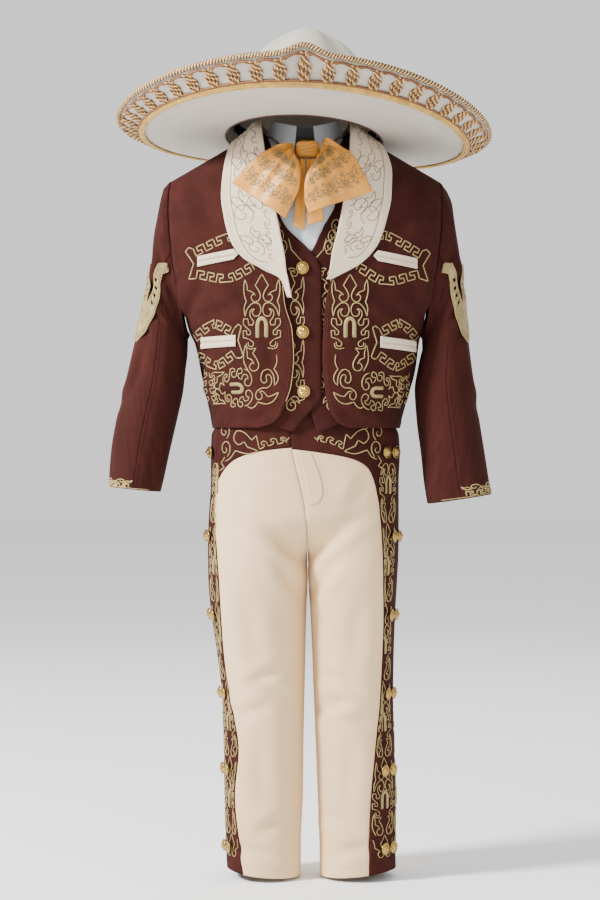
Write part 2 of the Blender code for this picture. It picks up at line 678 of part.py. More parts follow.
# ---------------------------------------------------------------- jacket
def jacket(parts, suede, cream, gilt):
    steps = len(JACKET_LEVELS) - 1
    for side, tag in ((-1, "l"), (1, "r")):

        def front(u, v, side=side, tag=tag):
            level = JACKET_LEVELS[round(v * steps)]
            free = turn_at(JACKET, read(JACKET_EDGES, level, "free_" + tag), level)
            seam = side * 90.0
            if level > ARMPIT:
                seam = turn_at(JACKET, side * armhole_x(level), level)
            seam -= side * math.degrees(EDGE / TRUNK_RADIUS)
            return trunk(JACKET, blend(free, seam, u), level)

        sheet("jacket_front_" + tag, front, 8, steps, SUEDE_WALL, suede, parts, Vector((0, 0, -170)))

    def back(u, v):
        level = JACKET_LEVELS[round(v * steps)]
        reach = 2.0 * u - 1.0
        seam = 90.0
        if level > ARMPIT:
            seam = turn_at(JACKET, armhole_x(level), level)
        seam -= math.degrees(EDGE / TRUNK_RADIUS)
        turn = 180.0 - reach * seam
        x = abs(read(JACKET, level, "width") * signed_power(math.sin(math.radians(turn)), ROUNDNESS))
        if level > -20:
            scoop = 20.0 * max(1.0 - (x / NECK_HALF) ** 2, 0.0)
            level = blend(-20.0, 26.0 - scoop, (level + 20.0) / 46.0)
        return trunk(JACKET, turn, level)

    sheet("jacket_back", back, 14, steps, SUEDE_WALL, suede, parts, Vector((0, 0, -170)))

    for side, tag in ((-1, "l"), (1, "r")):
        gap = math.degrees(SEAM / SLEEVE_RADIUS)
        inside = (sleeve_point(side, 0, 6) + sleeve_point(side, 180, 6)) / 2

        def upper(u, v, side=side, gap=gap):
            return sleeve(side, blend(-90.0 + gap, 90.0 - gap, narrow_ends(u, 8)), 12.0 * v)

        def under(u, v, side=side, gap=gap):
            return sleeve(side, blend(90.0 + gap, 270.0 - gap, narrow_ends(u, 8)), 12.0 * v)

        sheet("sleeve_upper_" + tag, upper, 8, 11, SUEDE_WALL, suede, parts, inside)
        sheet("sleeve_under_" + tag, under, 8, 11, SUEDE_WALL, suede, parts, inside)

        def shoe(u, v, side=side):
            angle, ring = shoe_spot(side, u, v)
            return sleeve(side, angle, ring, SEAM + SHOE_LIFT)

        sheet("sleeve_horseshoe_" + tag, shoe, 4, 14, 1.5, gilt, parts, inside)

    stations = 11

    def shawl(u, v):
        reach = 2.0 * u - 1.0
        table = COLLAR_L if reach < 0 else COLLAR_R
        station = stations * (1.0 - abs(reach)) ** 0.85
        roll_x = read(table, station, "roll_x")
        roll_level = read(table, station, "roll_level")
        outer_x = read(table, station, "outer_x")
        outer_level = read(table, station, "outer_level")
        x = blend(roll_x, outer_x, v)
        level = blend(roll_level, outer_level, v)
        rest = 0.8 + COLLAR_WALL + 3.0 * math.exp(-((station - 9.0) / 1.3) ** 2)
        lift = blend(rest, read(table, station, "roll_lift") + COLLAR_WALL, (1.0 - v) ** 1.6)
        turn = turn_at(JACKET, x, level)
        point = trunk(JACKET, turn, level, lift)
        point.z += read(table, station, "rise") * (1.0 - v) ** 1.3
        return point

    sheet("jacket_collar", shawl, 34, 3, COLLAR_WALL, cream, parts, Vector((0, 0, -120)))

    for name, inner_x, inner_z, outer_x, outer_z, height, lean in WELTS[1]:

        def welt(u, v):
            inner = inner_x + math.copysign(lean * (v - 0.5), inner_x)
            x = blend(inner, outer_x, u)
            z = blend(inner_z, outer_z, u) + blend(-height / 2, height / 2, v)
            return on_front(JACKET, x, z, SEAM + WELT_LIFT)

        sheet(name, welt, 5, 2, 1.9, cream, parts, Vector((0, 0, -200)))


# ---------------------------------------------------------------- waistcoat and shirt
def vest(parts, suede, gilt):
    steps = len(VEST_LEVELS) - 1
    for side, tag, sink in ((-1, "l", 0.0), (1, "r", -2.1)):

        def front(u, v, side=side, tag=tag, sink=sink):
            level = VEST_LEVELS[round(v * steps)]
            free = read(VEST_EDGES, level, "free_" + tag)
            seam = side * read(VEST_EDGES, level, "side")
            x = blend(free, seam, u)
            if level < -350:
                side_hem = VEST_HEM + VEST_SIDE_RISE * ease((u - 0.4) / 0.4)
                level = blend(level, max(level, side_hem), ease(u * 2.4))
            turn = turn_at(VEST, x, level)
            return trunk(VEST, turn, level, sink)

        sheet("vest_front_" + tag, front, 6, steps, VEST_WALL, suede, parts, Vector((0, 0, -170)))

    def back(u, v):
        level = VEST_BACK_LEVELS[round(v * 8)]
        reach = 2.0 * u - 1.0
        side = (read(VEST_EDGES, level, "side") - 2.4) / read(VEST, level, "width")
        edge = math.degrees(math.asin(min(side, 1.0) ** (1 / ROUNDNESS)))
        turn = 180.0 - reach * edge
        x = abs(read(VEST, level, "width") * signed_power(math.sin(math.radians(turn)), ROUNDNESS))
        if level > -50:
            scoop = 22.0 * max(1.0 - (x / 54.0) ** 2, 0.0)
            level = min(level, -50.0 + (level + 50.0) * (1.0 - scoop / (VEST_TOP + 50.0)))
        return trunk(VEST, turn, level)

    sheet("vest_back", back, 10, 8, VEST_WALL, suede, parts, Vector((0, 0, -170)))

    button = dome_mesh("vest_button", BUTTON_RADIUS, BUTTON_HEIGHT, 12, 6)
    for number, (x, z) in enumerate(BUTTONS, start=1):
        made = add_object("vest_button_" + str(number), button, gilt, parts)
        seat = on_front(VEST, x, z, 2 * SEAM + BUTTON_RADIUS * DOME_BACK)
        normal = (seat - on_front(VEST, x, z, 0.0)).normalized()
        made.matrix_world = standing_on(seat, normal)


def shirt(parts, white):

    def panel(u, v, front):
        level = SHIRT_LEVELS[round(v * 7)]
        reach = 2.0 * u - 1.0
        side = (read(VEST_EDGES, level, "side") - 6.0) / read(VEST, level, "width")
        edge = math.degrees(math.asin(min(side, 1.0) ** (1 / ROUNDNESS)))
        turn = reach * edge
        x = abs(read(VEST, level, "width") * signed_power(math.sin(math.radians(turn)), ROUNDNESS))
        if level > -60:
            scoop = (34.0 if front else 16.0) * max(1.0 - (x / 46.0) ** 2, 0.0)
            level = min(level, -60.0 + (level + 60.0) * (1.0 - scoop / (SHIRT_LEVELS[-1] + 60.0)))
        return trunk(VEST, turn if front else 180.0 - turn, level, SHIRT_SINK)

    middle = Vector((0, 0, -170))
    for name, front in (("shirt_front", True), ("shirt_back", False)):

        def place(u, v, front=front):
            return panel(u, v, front)

        sheet(name, place, 8, 7, SHIRT_WALL, white, parts, middle)

    def collar(u, v):
        """The collar's fall, open in front, with a point at each front end."""
        turn = blend(16.0, 344.0, u)
        a = math.radians(turn)
        near_front = max(math.cos(a), 0.0) ** 2
        flare = blend(52.0, 45.0 - 5.0 * near_front, v)
        deep = blend(50.0 + 22.0 * near_front, 44.0, v)
        low = blend(18.4 - 5.0 * min(math.cos(a), 0.0), -18.0, near_front ** 1.5)
        high = 38.0 - 12.0 * near_front
        return Vector((flare * math.sin(a), -deep * math.cos(a), blend(low, high, v)))

    sheet("shirt_collar", collar, 18, 3, SHIRT_WALL, white, parts, Vector((0, 0, 10)))


# ---------------------------------------------------------------- bow
def bow(parts, satin):
    knot_middle = Vector((3.2, on_front(JACKET, 1.0, -8.0, 0.0).y - 8.0, -9.5))

    def stand(x, z, out):
        """A point in front of the collar and shirt, out mm clear of the jacket's form."""
        deep = on_front(JACKET, x, min(z, -8.0), 0.0).y
        return Vector((x, deep - out, z))

    for side, tag, table in ((-1, "l", WING_L), (1, "r", WING_R)):

        def wing(u, v, side=side, table=table):
            top = (read(table, u, "top_x"), read(table, u, "top_z"))
            low = (read(table, u, "low_x"), read(table, u, "low_z"))
            x = blend(low[0], top[0], v)
            z = blend(low[1], top[1], v)
            out = read(table, u, "stand") - 0.8 * u
            out += 7.0 * math.sin(math.pi * v) * (1.0 - 0.6 * u) + 4.5 * math.sin(2.2 * math.pi * v) * u
            return stand(x, z, out + (2.2 if side > 0 else 0.0))

        sheet("bow_wing_" + tag, wing, 9, 7, SATIN_WALL, satin, parts, Vector((0, 0, -20)))

        def tail(u, v, side=side):
            x = blend(-15.5, 0.0, u) if side < 0 else blend(3.0, 25.0, u)
            x = blend(x, x * 0.6, v)
            z = blend(-112.0 + 7.0 * u * side, -23.0, v)
            return stand(x, z, blend(1.0, 8.5, v))

        sheet("bow_tail_" + tag, tail, 3, 5, SATIN_WALL, satin, parts, Vector((0, 0, -20)))

    bm = bmesh.new()
    bmesh.ops.create_cube(bm, size=1.0)
    bmesh.ops.subdivide_edges(bm, edges=bm.edges, cuts=2, use_grid_fill=True)
    for vert in bm.verts:
        ball = vert.co.normalized() * 0.58
        vert.co = vert.co.lerp(ball, 0.45)
        vert.co = Vector((vert.co.x * 33.5, vert.co.y * 17.0, vert.co.z * 25.0)) * MM
    mesh = bpy.data.meshes.new("bow_knot")
    bm.to_mesh(mesh)
    bm.free()
    knot = add_object("bow_knot", mesh, satin, parts)
    knot.location = knot_middle * MM


# ---------------------------------------------------------------- trousers
def row_height(v, low, upper):
    """Height of a row of a leg panel: its hem, the shared rows of the leg, then its own upper rows."""
    heights = (low,) + LEG_ROWS[1:] + upper
    return heights[round(v * (len(heights) - 1))]


def hem(across):
    """Height of the trousers' hem, which rises towards the outseam."""
    return HEM + HEM_RISE * math.exp(-((across - 1.5) / 0.8) ** 2)


def trousers(parts, suede, cream, gilt):
    seam = EDGE / LEG_PANEL
    for side, tag in ((-1, "l"), (1, "r")):

        def yoke(u, v, side=side, tag=tag):
            across = u * (1.0 - 3.4 * seam)
            low = read(YOKE, across, "edge_" + tag) + (4.0 + 5.0 * u) * SEAM
            return leg(side, across, blend(low, WAIST_TOP, v))

        sheet("trousers_yoke_" + tag, yoke, 7, 3, TROUSER_WALL, suede, parts, Vector((0, 0, -400)))

        def front(u, v, side=side, tag=tag):
            across = u * (1.0 - seam)
            high = read(YOKE, across, "edge_" + tag) - SEAM
            height = row_height(v, hem(across), (blend(LEG_ROWS[-1], high, 0.5), high))
            return leg(side, blend(seam * tube_share(height), 1.0 - seam, u), height)

        def strip(u, v, side=side):
            across = 1.0 + seam + u * (1.0 - 2 * seam)
            return leg(side, across, row_height(v, hem(across), STRIP_ROWS[len(LEG_ROWS):]))

        def back(u, v, side=side):
            across = 2.0 + blend(seam, 1.0, u)
            height = row_height(v, hem(across), (-464, BACK_YOKE_EDGE - SEAM))
            return leg(side, blend(2.0 + seam, 3.0 - seam * tube_share(height), u), height)

        inside = Vector((side * 63.0, 0, -700))
        sheet("trousers_front_" + tag, front, 7, 12, TROUSER_WALL, cream, parts, inside)
        sheet("trousers_strip_" + tag, strip, STRIP_COLUMNS, 15, TROUSER_WALL, suede, parts, inside)
        sheet("trousers_back_" + tag, back, 7, 12, TROUSER_WALL, cream, parts, inside)

    def back_yoke(u, v):
        reach = 2.0 * u - 1.0
        side = -1 if reach < 0 else 1
        across = 3.0 - abs(reach) * (1.0 - seam)
        point = leg(side, across, blend(BACK_YOKE_EDGE + SEAM, WAIST_TOP, v))
        if reach == 0:
            point.x -= side * SEAM / 2
        return point

    sheet("trousers_back_yoke", back_yoke, 12, 3, TROUSER_WALL, suede, parts, Vector((0, 0, -400)))

    def band(u, v):
        reach = 6.0 * u
        side = 1 if reach <= 3.0 else -1
        across = reach if side > 0 else 6.0 - reach
        height = WAIST_TOP - 1.0 - WAISTBAND * (1.0 - v)
        point = leg(side, across, height, -(TROUSER_WALL + 0.6))
        if across in (0.0, 3.0):
            point.x = read(TROUSERS, height, "centre")
        return point

    middle = Vector((0, 0, -350))
    sheet("trousers_waistband", band, 24, 1, TROUSER_WALL, suede, parts, middle, ring=True)

    def fly(u, v):
        height = blend(-478.0, -409.0, v)
        wide = blend(0.05, 0.2, u) * (1.0 if v > 0.3 else 0.72)
        return leg(1, wide, height, SEAM + 1.0)

    sheet("trousers_fly", fly, 3, 5, 1.0, cream, parts, Vector((0, 0, -440)))

    pair = stud_pair()
    for side, tag in ((-1, "l"), (1, "r")):
        for number, height in enumerate(STUD_ROWS, start=1):
            across = 1.0 + stud_across(side, height, STUD_TURNS[side][number - 1])
            made = add_object("studs_" + tag + "_" + str(number), pair, gilt, parts)
            made.matrix_world = pair_on_strip(side, across, height)


def on_facet(side, across, height):
    """The point of the side strip's flat facet that lies at this place."""
    row = max(i for i, low in enumerate(STRIP_ROWS) if low <= height)
    low = STRIP_ROWS[row]
    high = STRIP_ROWS[row + 1]
    left = math.floor(STRIP_COLUMNS * across) / STRIP_COLUMNS
    right = left + 1.0 / STRIP_COLUMNS
    share = (across - left) * STRIP_COLUMNS
    lower = leg(side, left, low).lerp(leg(side, right, low), share)
    upper = leg(side, left, high).lerp(leg(side, right, high), share)
    return lower.lerp(upper, (height - low) / (high - low))


def pair_on_strip(side, across, height):
    """Placement of a stud pair that rests on the strip's highest facets under it."""
    normal = (leg(side, across, height, 1.0) - leg(side, across, height)).normalized()
    level = Vector((0, 0, 1)).cross(normal).normalized()
    seat = on_facet(side, across, height)
    stand = 0.0
    for column in range(-8, 9):
        for row in range(-2, 3):
            offset = on_facet(side, across + 0.04 * column, height + 3.0 * row) - seat
            from_dome = math.hypot(abs(offset.dot(level)) - STUD_APART, 3.0 * row) / STUD_RADIUS
            if from_dome < 1.0:
                back = STUD_RADIUS * DOME_BACK * math.sqrt(1.0 - from_dome**2)
                stand = max(stand, offset.dot(normal) + back)
    return standing_on(seat + normal * (stand + 1.5 * SEAM), normal)


def stud_across(side, height, turn):
    """How far across the side strip this turn lies, from its front edge (0) to its back edge (1)."""
    tag = "_l" if side < 0 else "_r"
    outer = read(TROUSERS, height, "outer" + tag)
    strip = read(TROUSERS, height, "strip" + tag)
    inner = read(TROUSERS, height, "inner" + tag)
    middle = (outer + inner) / 2
    edge = math.degrees(math.acos(min(abs(strip - middle) / abs(outer - middle), 1.0)))
    return (edge - turn) / (edge + STRIP_BACK)


def stud_pair():
    """Two domed studs joined by a short chain, drawn as one bar, in one closed mesh."""
    bar_mesh = bpy.data.meshes.new("stud_bar")
    bm = bmesh.new()
    bmesh.ops.create_cube(bm, size=1.0)
    bmesh.ops.scale(bm, vec=Vector(STUD_BAR) * MM, verts=bm.verts)
    bmesh.ops.translate(bm, vec=Vector((0, 0, 1.1)) * MM, verts=bm.verts)
    bm.to_mesh(bar_mesh)
    bm.free()
    dome = dome_mesh("stud", STUD_RADIUS, STUD_HEIGHT, 9, 4)
    guides = []
    for name, mesh, x in (("stud_l", dome, -1), ("stud_r", dome, 1), ("stud_bar", bar_mesh, 0)):
        made = bpy.data.objects.new(name, mesh)
        made.location.x = x * STUD_APART * MM
        made.hide_render = True
        made.display_type = "WIRE"
        bpy.data.collections["cutters"].objects.link(made)
        guides.append(made)
    left, right, bar = guides
    for other in (bar, right):
        join = left.modifiers.new("join", "BOOLEAN")
        join.operation = "UNION"
        join.object = other
    bpy.context.view_layer.update()
    solved = left.evaluated_get(bpy.context.evaluated_depsgraph_get())
    mesh = bpy.data.meshes.new_from_object(solved)
    mesh.transform(left.matrix_world)
    return mesh


# ---------------------------------------------------------------- sombrero
def sombrero(parts, felt, cord, gilt, navy):
    hat_inside = Vector((0, 0, 400))

    def brim_sheet(u, v):
        return brim(crowded(u), (0, 1.4, 2.7, 3, 3.4, 5)[round(v * 5)])

    sheet("hat_brim", brim_sheet, 48, 5, FELT_WALL, felt, parts, hat_inside, ring=True)

    def crown_sheet(u, v):
        step = 7.0 * v
        a = math.radians(360.0 * u)
        base = brim(360.0 * u, 0.12, -(FELT_WALL + 1.4))
        size = read(CROWN, step, "radius")
        height = read(CROWN, step, "height")
        pinch = 1.0 - 0.16 * math.exp(-(math.sin(a) / 0.35) ** 2) * ease((height - 60.0) / 90.0)
        tilt = 0.24 * height
        x = HAT_MIDDLE + (base.x - HAT_MIDDLE) * size + HAT_ROLL * height
        y = base.y * size * pinch + read(CROWN, step, "back") + tilt * 0.3
        z = blend(base.z, 5.0 + (base.z - 5.0) * size, min(step, 1.0)) + height
        return Vector((x, y, z))

    crown_lid("hat_crown", crown_sheet, 24, 7, FELT_WALL, felt, parts)

    def band_sheet(u, v):
        base = brim(360.0 * u, 0.0, 0.0)
        point = Vector((HAT_MIDDLE + (base.x - HAT_MIDDLE) * 0.92 + 1.0, base.y * 0.92, base.z))
        point.z += blend(12.0, 29.0, v)
        point.y += 2.0 * v
        return point

    sheet("hat_sweatband", band_sheet, 28, 1, 1.5, navy, parts, Vector((0, 0, 20)), ring=True)

    trellis(parts, cord)

    def fold(turn):
        return brim(turn, BRAID_STATION, BRAID_RADIUS + 2 * SEAM)

    ring_cord("hat_braid", fold, BRAID_RADIUS, 44, 1, gilt, parts)

    def edge(turn):
        out = brim(turn, 5.0) - brim(turn, 4.8)
        middle = brim(turn, 5.0, -FELT_WALL / 2)
        return middle + out.normalized() * (CORD_RADIUS + 3 * SEAM)

    ring_cord("hat_edge_cord", edge, CORD_RADIUS, 44, 1, cord, parts)


def crown_lid(name, place, across, along, wall, look, parts):
    """The crown: a ring grid whose last ring is closed by a lid, with its wall inside."""
    bm = bmesh.new()
    bmesh.ops.create_grid(bm, x_segments=across, y_segments=along, size=0.5)
    for vert in bm.verts:
        u = round((vert.co.x + 0.5) * across) / across
        v = round((vert.co.y + 0.5) * along) / along
        vert.co = place(u, v) * MM
    bmesh.ops.remove_doubles(bm, verts=bm.verts, dist=0.00001)
    rim = [edge for edge in bm.edges if edge.is_boundary and edge.verts[0].co.z > 0.1]
    bmesh.ops.contextual_create(bm, geom=rim)
    bmesh.ops.recalc_face_normals(bm, faces=bm.faces)
    top = max(bm.faces, key=lambda f: f.calc_center_median().z)
    if top.normal.z < 0:
        bmesh.ops.reverse_faces(bm, faces=bm.faces)
    mesh = bpy.data.meshes.new(name)
    bm.to_mesh(mesh)
    bm.free()
    made = add_object(name, mesh, look, parts)
    solid = made.modifiers.new("wall", "SOLIDIFY")
    solid.thickness = wall * MM
    solid.offset = -1.0
    solid.use_quality_normals = True


def trellis(parts, cord):
    """Cord posts that stand between a lower and an upper cord on the outside of the rim."""
    stations = (POST_LOW, POST_LOW + 0.16, POST_HIGH - 0.2, POST_HIGH)
    bm = bmesh.new()
    columns = []
    for i in range(POSTS):
        for part in (0.0, POST_SHARE):
            turn = 360.0 * (i + part - POST_SHARE / 2) / POSTS
            lift = SEAM + 2.7 + 1.8 * math.exp(-(math.sin(math.radians(turn / 2)) / 0.09) ** 2)
            columns.append([bm.verts.new(brim(turn, s, lift) * MM) for s in stations])
    for i, column in enumerate(columns):
        following = columns[(i + 1) % len(columns)]
        rows = (0, 1, 2) if i % 2 == 0 else (0, 2)
        for row in rows:
            bm.faces.new((column[row], following[row], following[row + 1], column[row + 1]))
    bm.normal_update()
    facing = sum(f.calc_center_median().xy.dot(f.normal.xy) for f in bm.faces)
    if facing < 0:
        bmesh.ops.reverse_faces(bm, faces=bm.faces)
    mesh = bpy.data.meshes.new("hat_trellis")
    bm.to_mesh(mesh)
    bm.free()
    made = add_object("hat_trellis", mesh, cord, parts)
    solid = made.modifiers.new("wall", "SOLIDIFY")
    solid.thickness = 2.2 * MM
    solid.offset = -1.0
    solid.use_quality_normals = True


# ---------------------------------------------------------------- whole suit
def main():
    for old in list(bpy.data.objects):
        bpy.data.objects.remove(old)
    parts = bpy.data.collections.new("charro_suit")
    cutters = bpy.data.collections.new("cutters")
    for made in (parts, cutters):
        bpy.context.scene.collection.children.link(made)
    suede = material("suede", SUEDE)
    cream = material("cream_cloth", CREAM)
    white = material("white_cotton", WHITE)
    satin = material("peach_satin", PEACH)
    gilt = material("gilt", GILT)
    cord = material("gilt_cord", CORD)
    navy = material("navy_band", NAVY)
    jacket(parts, suede, cream, gilt)
    vest(parts, suede, gilt)
    shirt(parts, white)
    bow(parts, satin)
    trousers(parts, suede, cream, gilt)
    sombrero(parts, cream, cord, gilt, navy)


main()
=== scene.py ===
"""Looks of a child's charro suit: sombrero, jacket, waistcoat, shirt front, bow and trousers.

The suit is worn and hollow, and faces -Y with +X on the viewer's right. Every cloth piece is a thin
closed shell, bent by the same forms and tables as the solid that it stands for, with soft creases
laid on them. Cords, couched scrolls, stitches and fittings lie on those forms. Tables are in
millimetres.
"""

import bisect
from math import acos, asin, atan, copysign, cos, degrees, exp, floor, pi, radians, sin, sqrt

import bpy
from mathutils import Matrix, Vector


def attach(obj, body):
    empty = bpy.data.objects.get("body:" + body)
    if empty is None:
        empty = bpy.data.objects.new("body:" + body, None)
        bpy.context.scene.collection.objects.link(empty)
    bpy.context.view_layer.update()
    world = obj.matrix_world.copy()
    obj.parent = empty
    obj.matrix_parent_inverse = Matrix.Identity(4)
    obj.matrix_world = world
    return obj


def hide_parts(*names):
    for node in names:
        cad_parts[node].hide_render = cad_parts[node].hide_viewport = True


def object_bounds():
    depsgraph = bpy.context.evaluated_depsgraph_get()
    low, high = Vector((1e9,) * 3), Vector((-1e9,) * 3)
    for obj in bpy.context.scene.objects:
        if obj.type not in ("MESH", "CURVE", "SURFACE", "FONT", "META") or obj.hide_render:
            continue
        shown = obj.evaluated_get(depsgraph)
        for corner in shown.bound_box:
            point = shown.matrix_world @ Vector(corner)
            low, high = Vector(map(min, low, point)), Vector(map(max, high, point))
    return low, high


bl_info = {
    "name": "Charro suit",
    "version": (1, 0, 0),
    "blender": (4, 2, 0),
    "location": "View3D > Sidebar > Charro suit",
    "description": "Makes a child's charro suit piece by piece on its packed solids",
    "category": "Add Mesh",
}

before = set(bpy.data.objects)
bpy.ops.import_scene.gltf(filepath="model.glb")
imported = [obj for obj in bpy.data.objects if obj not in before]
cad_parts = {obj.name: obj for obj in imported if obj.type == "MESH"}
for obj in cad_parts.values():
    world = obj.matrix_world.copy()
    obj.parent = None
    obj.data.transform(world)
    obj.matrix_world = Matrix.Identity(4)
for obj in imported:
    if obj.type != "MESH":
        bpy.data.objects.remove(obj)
cad_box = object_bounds()

# ---------------------------------------------------------------- driving dimensions (millimetres)
MM = 0.001
SIDES = ((-1, "l"), (1, "r"))
SEAM = 0.02                # the two halves of the trousers almost meet
SUEDE_WALL = 1.8
VEST_WALL = 1.6
SHIRT_WALL = 1.2
SATIN_WALL = 1.6
TROUSER_WALL = 1.6
FELT_WALL = 3
COLLAR_WALL = 2.2
SHOULDER_SLOPE = 0.58      # drop of the shoulder line for each mm away from the neck point
NECK_HALF = 62             # half width of the jacket's neck
ROUNDNESS = 0.84           # power that squares the body's oval sections a little
SLEEVE_ROUNDNESS = 0.92
LEG_ROUNDNESS = 0.95
ARMPIT = -250
SHOULDER_TOP = 26          # level of the seam along the top of the shoulder
ARMHOLE_GAP = 0.25         # the sleeve head stands this far off the jacket's armhole edge
WAIST_TOP = -337
BUTTON_RADIUS = 8.5
BUTTONS = ((-3.6, -167), (-3.2, -250.5), (-1.9, -328))
STUD_RADIUS = 8.2
STUD_APART = 9.6           # half the distance between a pair's middles
STUD_ROWS = (-408, -520, -625, -730, -832, -936)
POSTS = 48                 # cord posts round the hat's rim
POST_LOW = 3.62            # stations of the trellis on the rim
POST_HIGH = 4.88
BRAID_STATION = 3.22
CORD_RADIUS = 3.5
CORD_TWISTS = 120          # turns of the edge cord's strands, all round
BRAID_TWISTS = 136

# Body of the jacket. A level is the height before the shoulder line slopes away.
JACKET = (
    ("level", "centre", "width", "front", "back"),
    (
        (-380, 1, 125, 92.5, 84), (-335, 3, 135.5, 97.5, 88), (-300, 4, 144.5, 101, 91),
        (-262, 2.5, 151, 105, 93.5), (-250, 1, 155.5, 106, 94.5), (-215, 0, 177, 108, 96),
        (-170, 0, 192, 108, 98), (-125, 0, 199, 105, 98), (-85, 0, 204, 99, 95), (-50, 0, 206, 91, 90),
        (-20, 0, 208, 80, 80), (5, 0, 208, 60, 60), (18, 0, 208, 36, 36), (24, 0, 208, 16, 16),
        (SHOULDER_TOP, 0, 208, 0.9, 0.9),
    ),
)

# Waistcoat, inside the jacket; the shirt is the same form, closer in.
VEST_TOP = 22.2
VEST = (
    ("level", "centre", "width", "front", "back"),
    (
        (-384, 1, 119.5, 87, 79.5), (-335, 2, 125, 91, 81.5), (-300, 2, 128, 94.5, 83.5),
        (-262, 1.5, 132, 98.5, 85), (-215, 0, 134, 101, 88), (-170, 0, 134, 101, 90),
        (-125, 0, 134, 97.5, 90), (-85, 0, 134, 91, 87), (-50, 0, 134, 82, 82), (-20, 0, 134, 71.5, 72),
        (3, 0, 134, 50, 49.5), (16, 0, 134, 25, 23.5), (VEST_TOP, 0, 134, 0.8, 0.8),
    ),
)

VEST_HEM = -368            # lower edge of the waistcoat between its front point and its side
VEST_SIDE_RISE = 16        # the edge rises this much more towards the side seam
# Edges of the waistcoat's fronts: the free edge on each side, and the side seam.
VEST_EDGES = (
    ("level", "free_l", "free_r", "side"),
    (
        (-381, -15, 16, 117), (-357, 4, 8, 118), (-333, 22, 2, 120), (-250, 22.5, 1, 126),
        (-200, 22, 1, 118), (-168, 21, 1, 109), (-153, 14, 4.5, 107), (-138, 0.5, 12, 105),
        (-110, -27, 25.5, 104), (-85, -37, 39, 104), (-50, -41, 45, 106), (-15, -42, 42, 109),
        (VEST_TOP, -54, 54, 112),
    ),
)
SHIRT_LOW = -325
SHIRT_TOP = 21.6
SHIRT_SINK = -6.1          # the shirt lies this far inside the waistcoat's form

# Edges of the jacket's fronts: how far the free edge and the armhole seam lie from the middle.
JACKET_EDGES = (
    ("level", "free_l", "free_r", "armhole"),
    (
        (-376, -62, 56, 0), (-371, -44, 45, 0), (-361, -33, 36, 0), (-344, -25.5, 29, 0),
        (-318, -17.5, 25, 0), (-285, -14.5, 22.5, 0), (-250, -16.5, 23.5, 155.5), (-215, -26, 26, 165),
        (-170, -31, 38, 171.5), (-125, -40, 49, 176.5), (-85, -48, 58, 179), (-50, -54, 61, 181),
        (-20, -58, 62, 182), (5, -61, 63, 182), (SHOULDER_TOP, -63, 64, 180),
    ),
)

# Shawl collar. Levels above the shoulder's top run on down the back. The roll is the inner, turned edge.
COLLAR = (
    ("station", "roll_x_l", "roll_x_r", "roll_level_l", "roll_level_r", "roll_lift", "rise",
     "outer_x_l", "outer_x_r", "outer_level_l", "outer_level_r"),
    (
        (0, -18, 28, -207, -183, 2.8, 0, -23.5, 33.5, -206, -183),
        (1, -22.5, 30.5, -182, -176.5, 3.2, 0, -33, 47, -182, -176),
        (2, -24.5, 32.5, -171, -164, 4, 0, -55, 66, -170, -165.5),
        (3, -26, 35, -155, -147, 5, 0, -81, 84, -151, -147),
        (4, -31, 40, -129, -128, 6, 0, -97.5, 97.5, -122, -122),
        (5, -35, 44.5, -108, -108, 7, 0, -106, 107, -84, -84),
        (6, -42, 50.5, -74, -74, 8, 0, -110, 113, -46, -46),
        (7, -49, 56, -34, -34, 9, 0, -107, 114, -10, -10), (8, -56, 59, 2, 2, 10, 2, -101, 107, 14, 14),
        (9, -59, 60, 25, 25, 11, 3, -90, 91, 31, 31), (10, -47, 47, 44, 44, 10, 14, -69, 69, 59, 59),
        (11, 0, 0, 50, 50, 8, 22, 0, 0, 88, 88),
    ),
)

# Sleeves, ring by ring from the armhole to the cuff: the outer and the inner point of each ring, its
# half depth, how far it hangs forward, and how far its front and back swell away from the body.
SLEEVES = (
    ("ring", "outer_x_l", "outer_x_r", "outer_z_l", "outer_z_r", "inner_x_l", "inner_x_r",
     "inner_z_l", "inner_z_r", "depth", "forward", "swell"),
    (
        (1, -190, 191, -53, -57, -158, 158, -256, -256, 58, 0, 9),
        (2, -195, 197.5, -76, -76, -158, 158, -258.5, -258.5, 57.5, 0, 12),
        (3, -202, 202, -110, -106, -158, 158, -261, -261, 57, 0, 12),
        (4, -206, 208, -151, -144, -158, 158, -264, -264, 56, 2, 10),
        (5, -213, 212.5, -192, -190, -158, 158, -269, -269, 54.5, 4, 7),
        (6, -222.5, 217.5, -232, -236, -158.5, 155.5, -278, -279, 52.5, 6, 4),
        (7, -233.5, 223, -279, -283, -160.5, 151.8, -295, -296, 50, 9, 1),
        (8, -243, 228.5, -321, -324, -163.5, 147.5, -324, -325, 48, 12, 0),
        (9, -253.5, 235, -365, -370, -171.5, 150, -363, -366, 46, 15, 0),
        (10, -260.5, 241.5, -409, -412, -181.5, 155.5, -407, -410, 43, 18, 0),
        (11, -262.5, 246.5, -440, -445, -188.5, 159.5, -440, -449, 41, 20, 0),
        (12, -263, 250, -454, -464, -193.5, 164, -461, -477, 40, 20, 0),
    ),
)

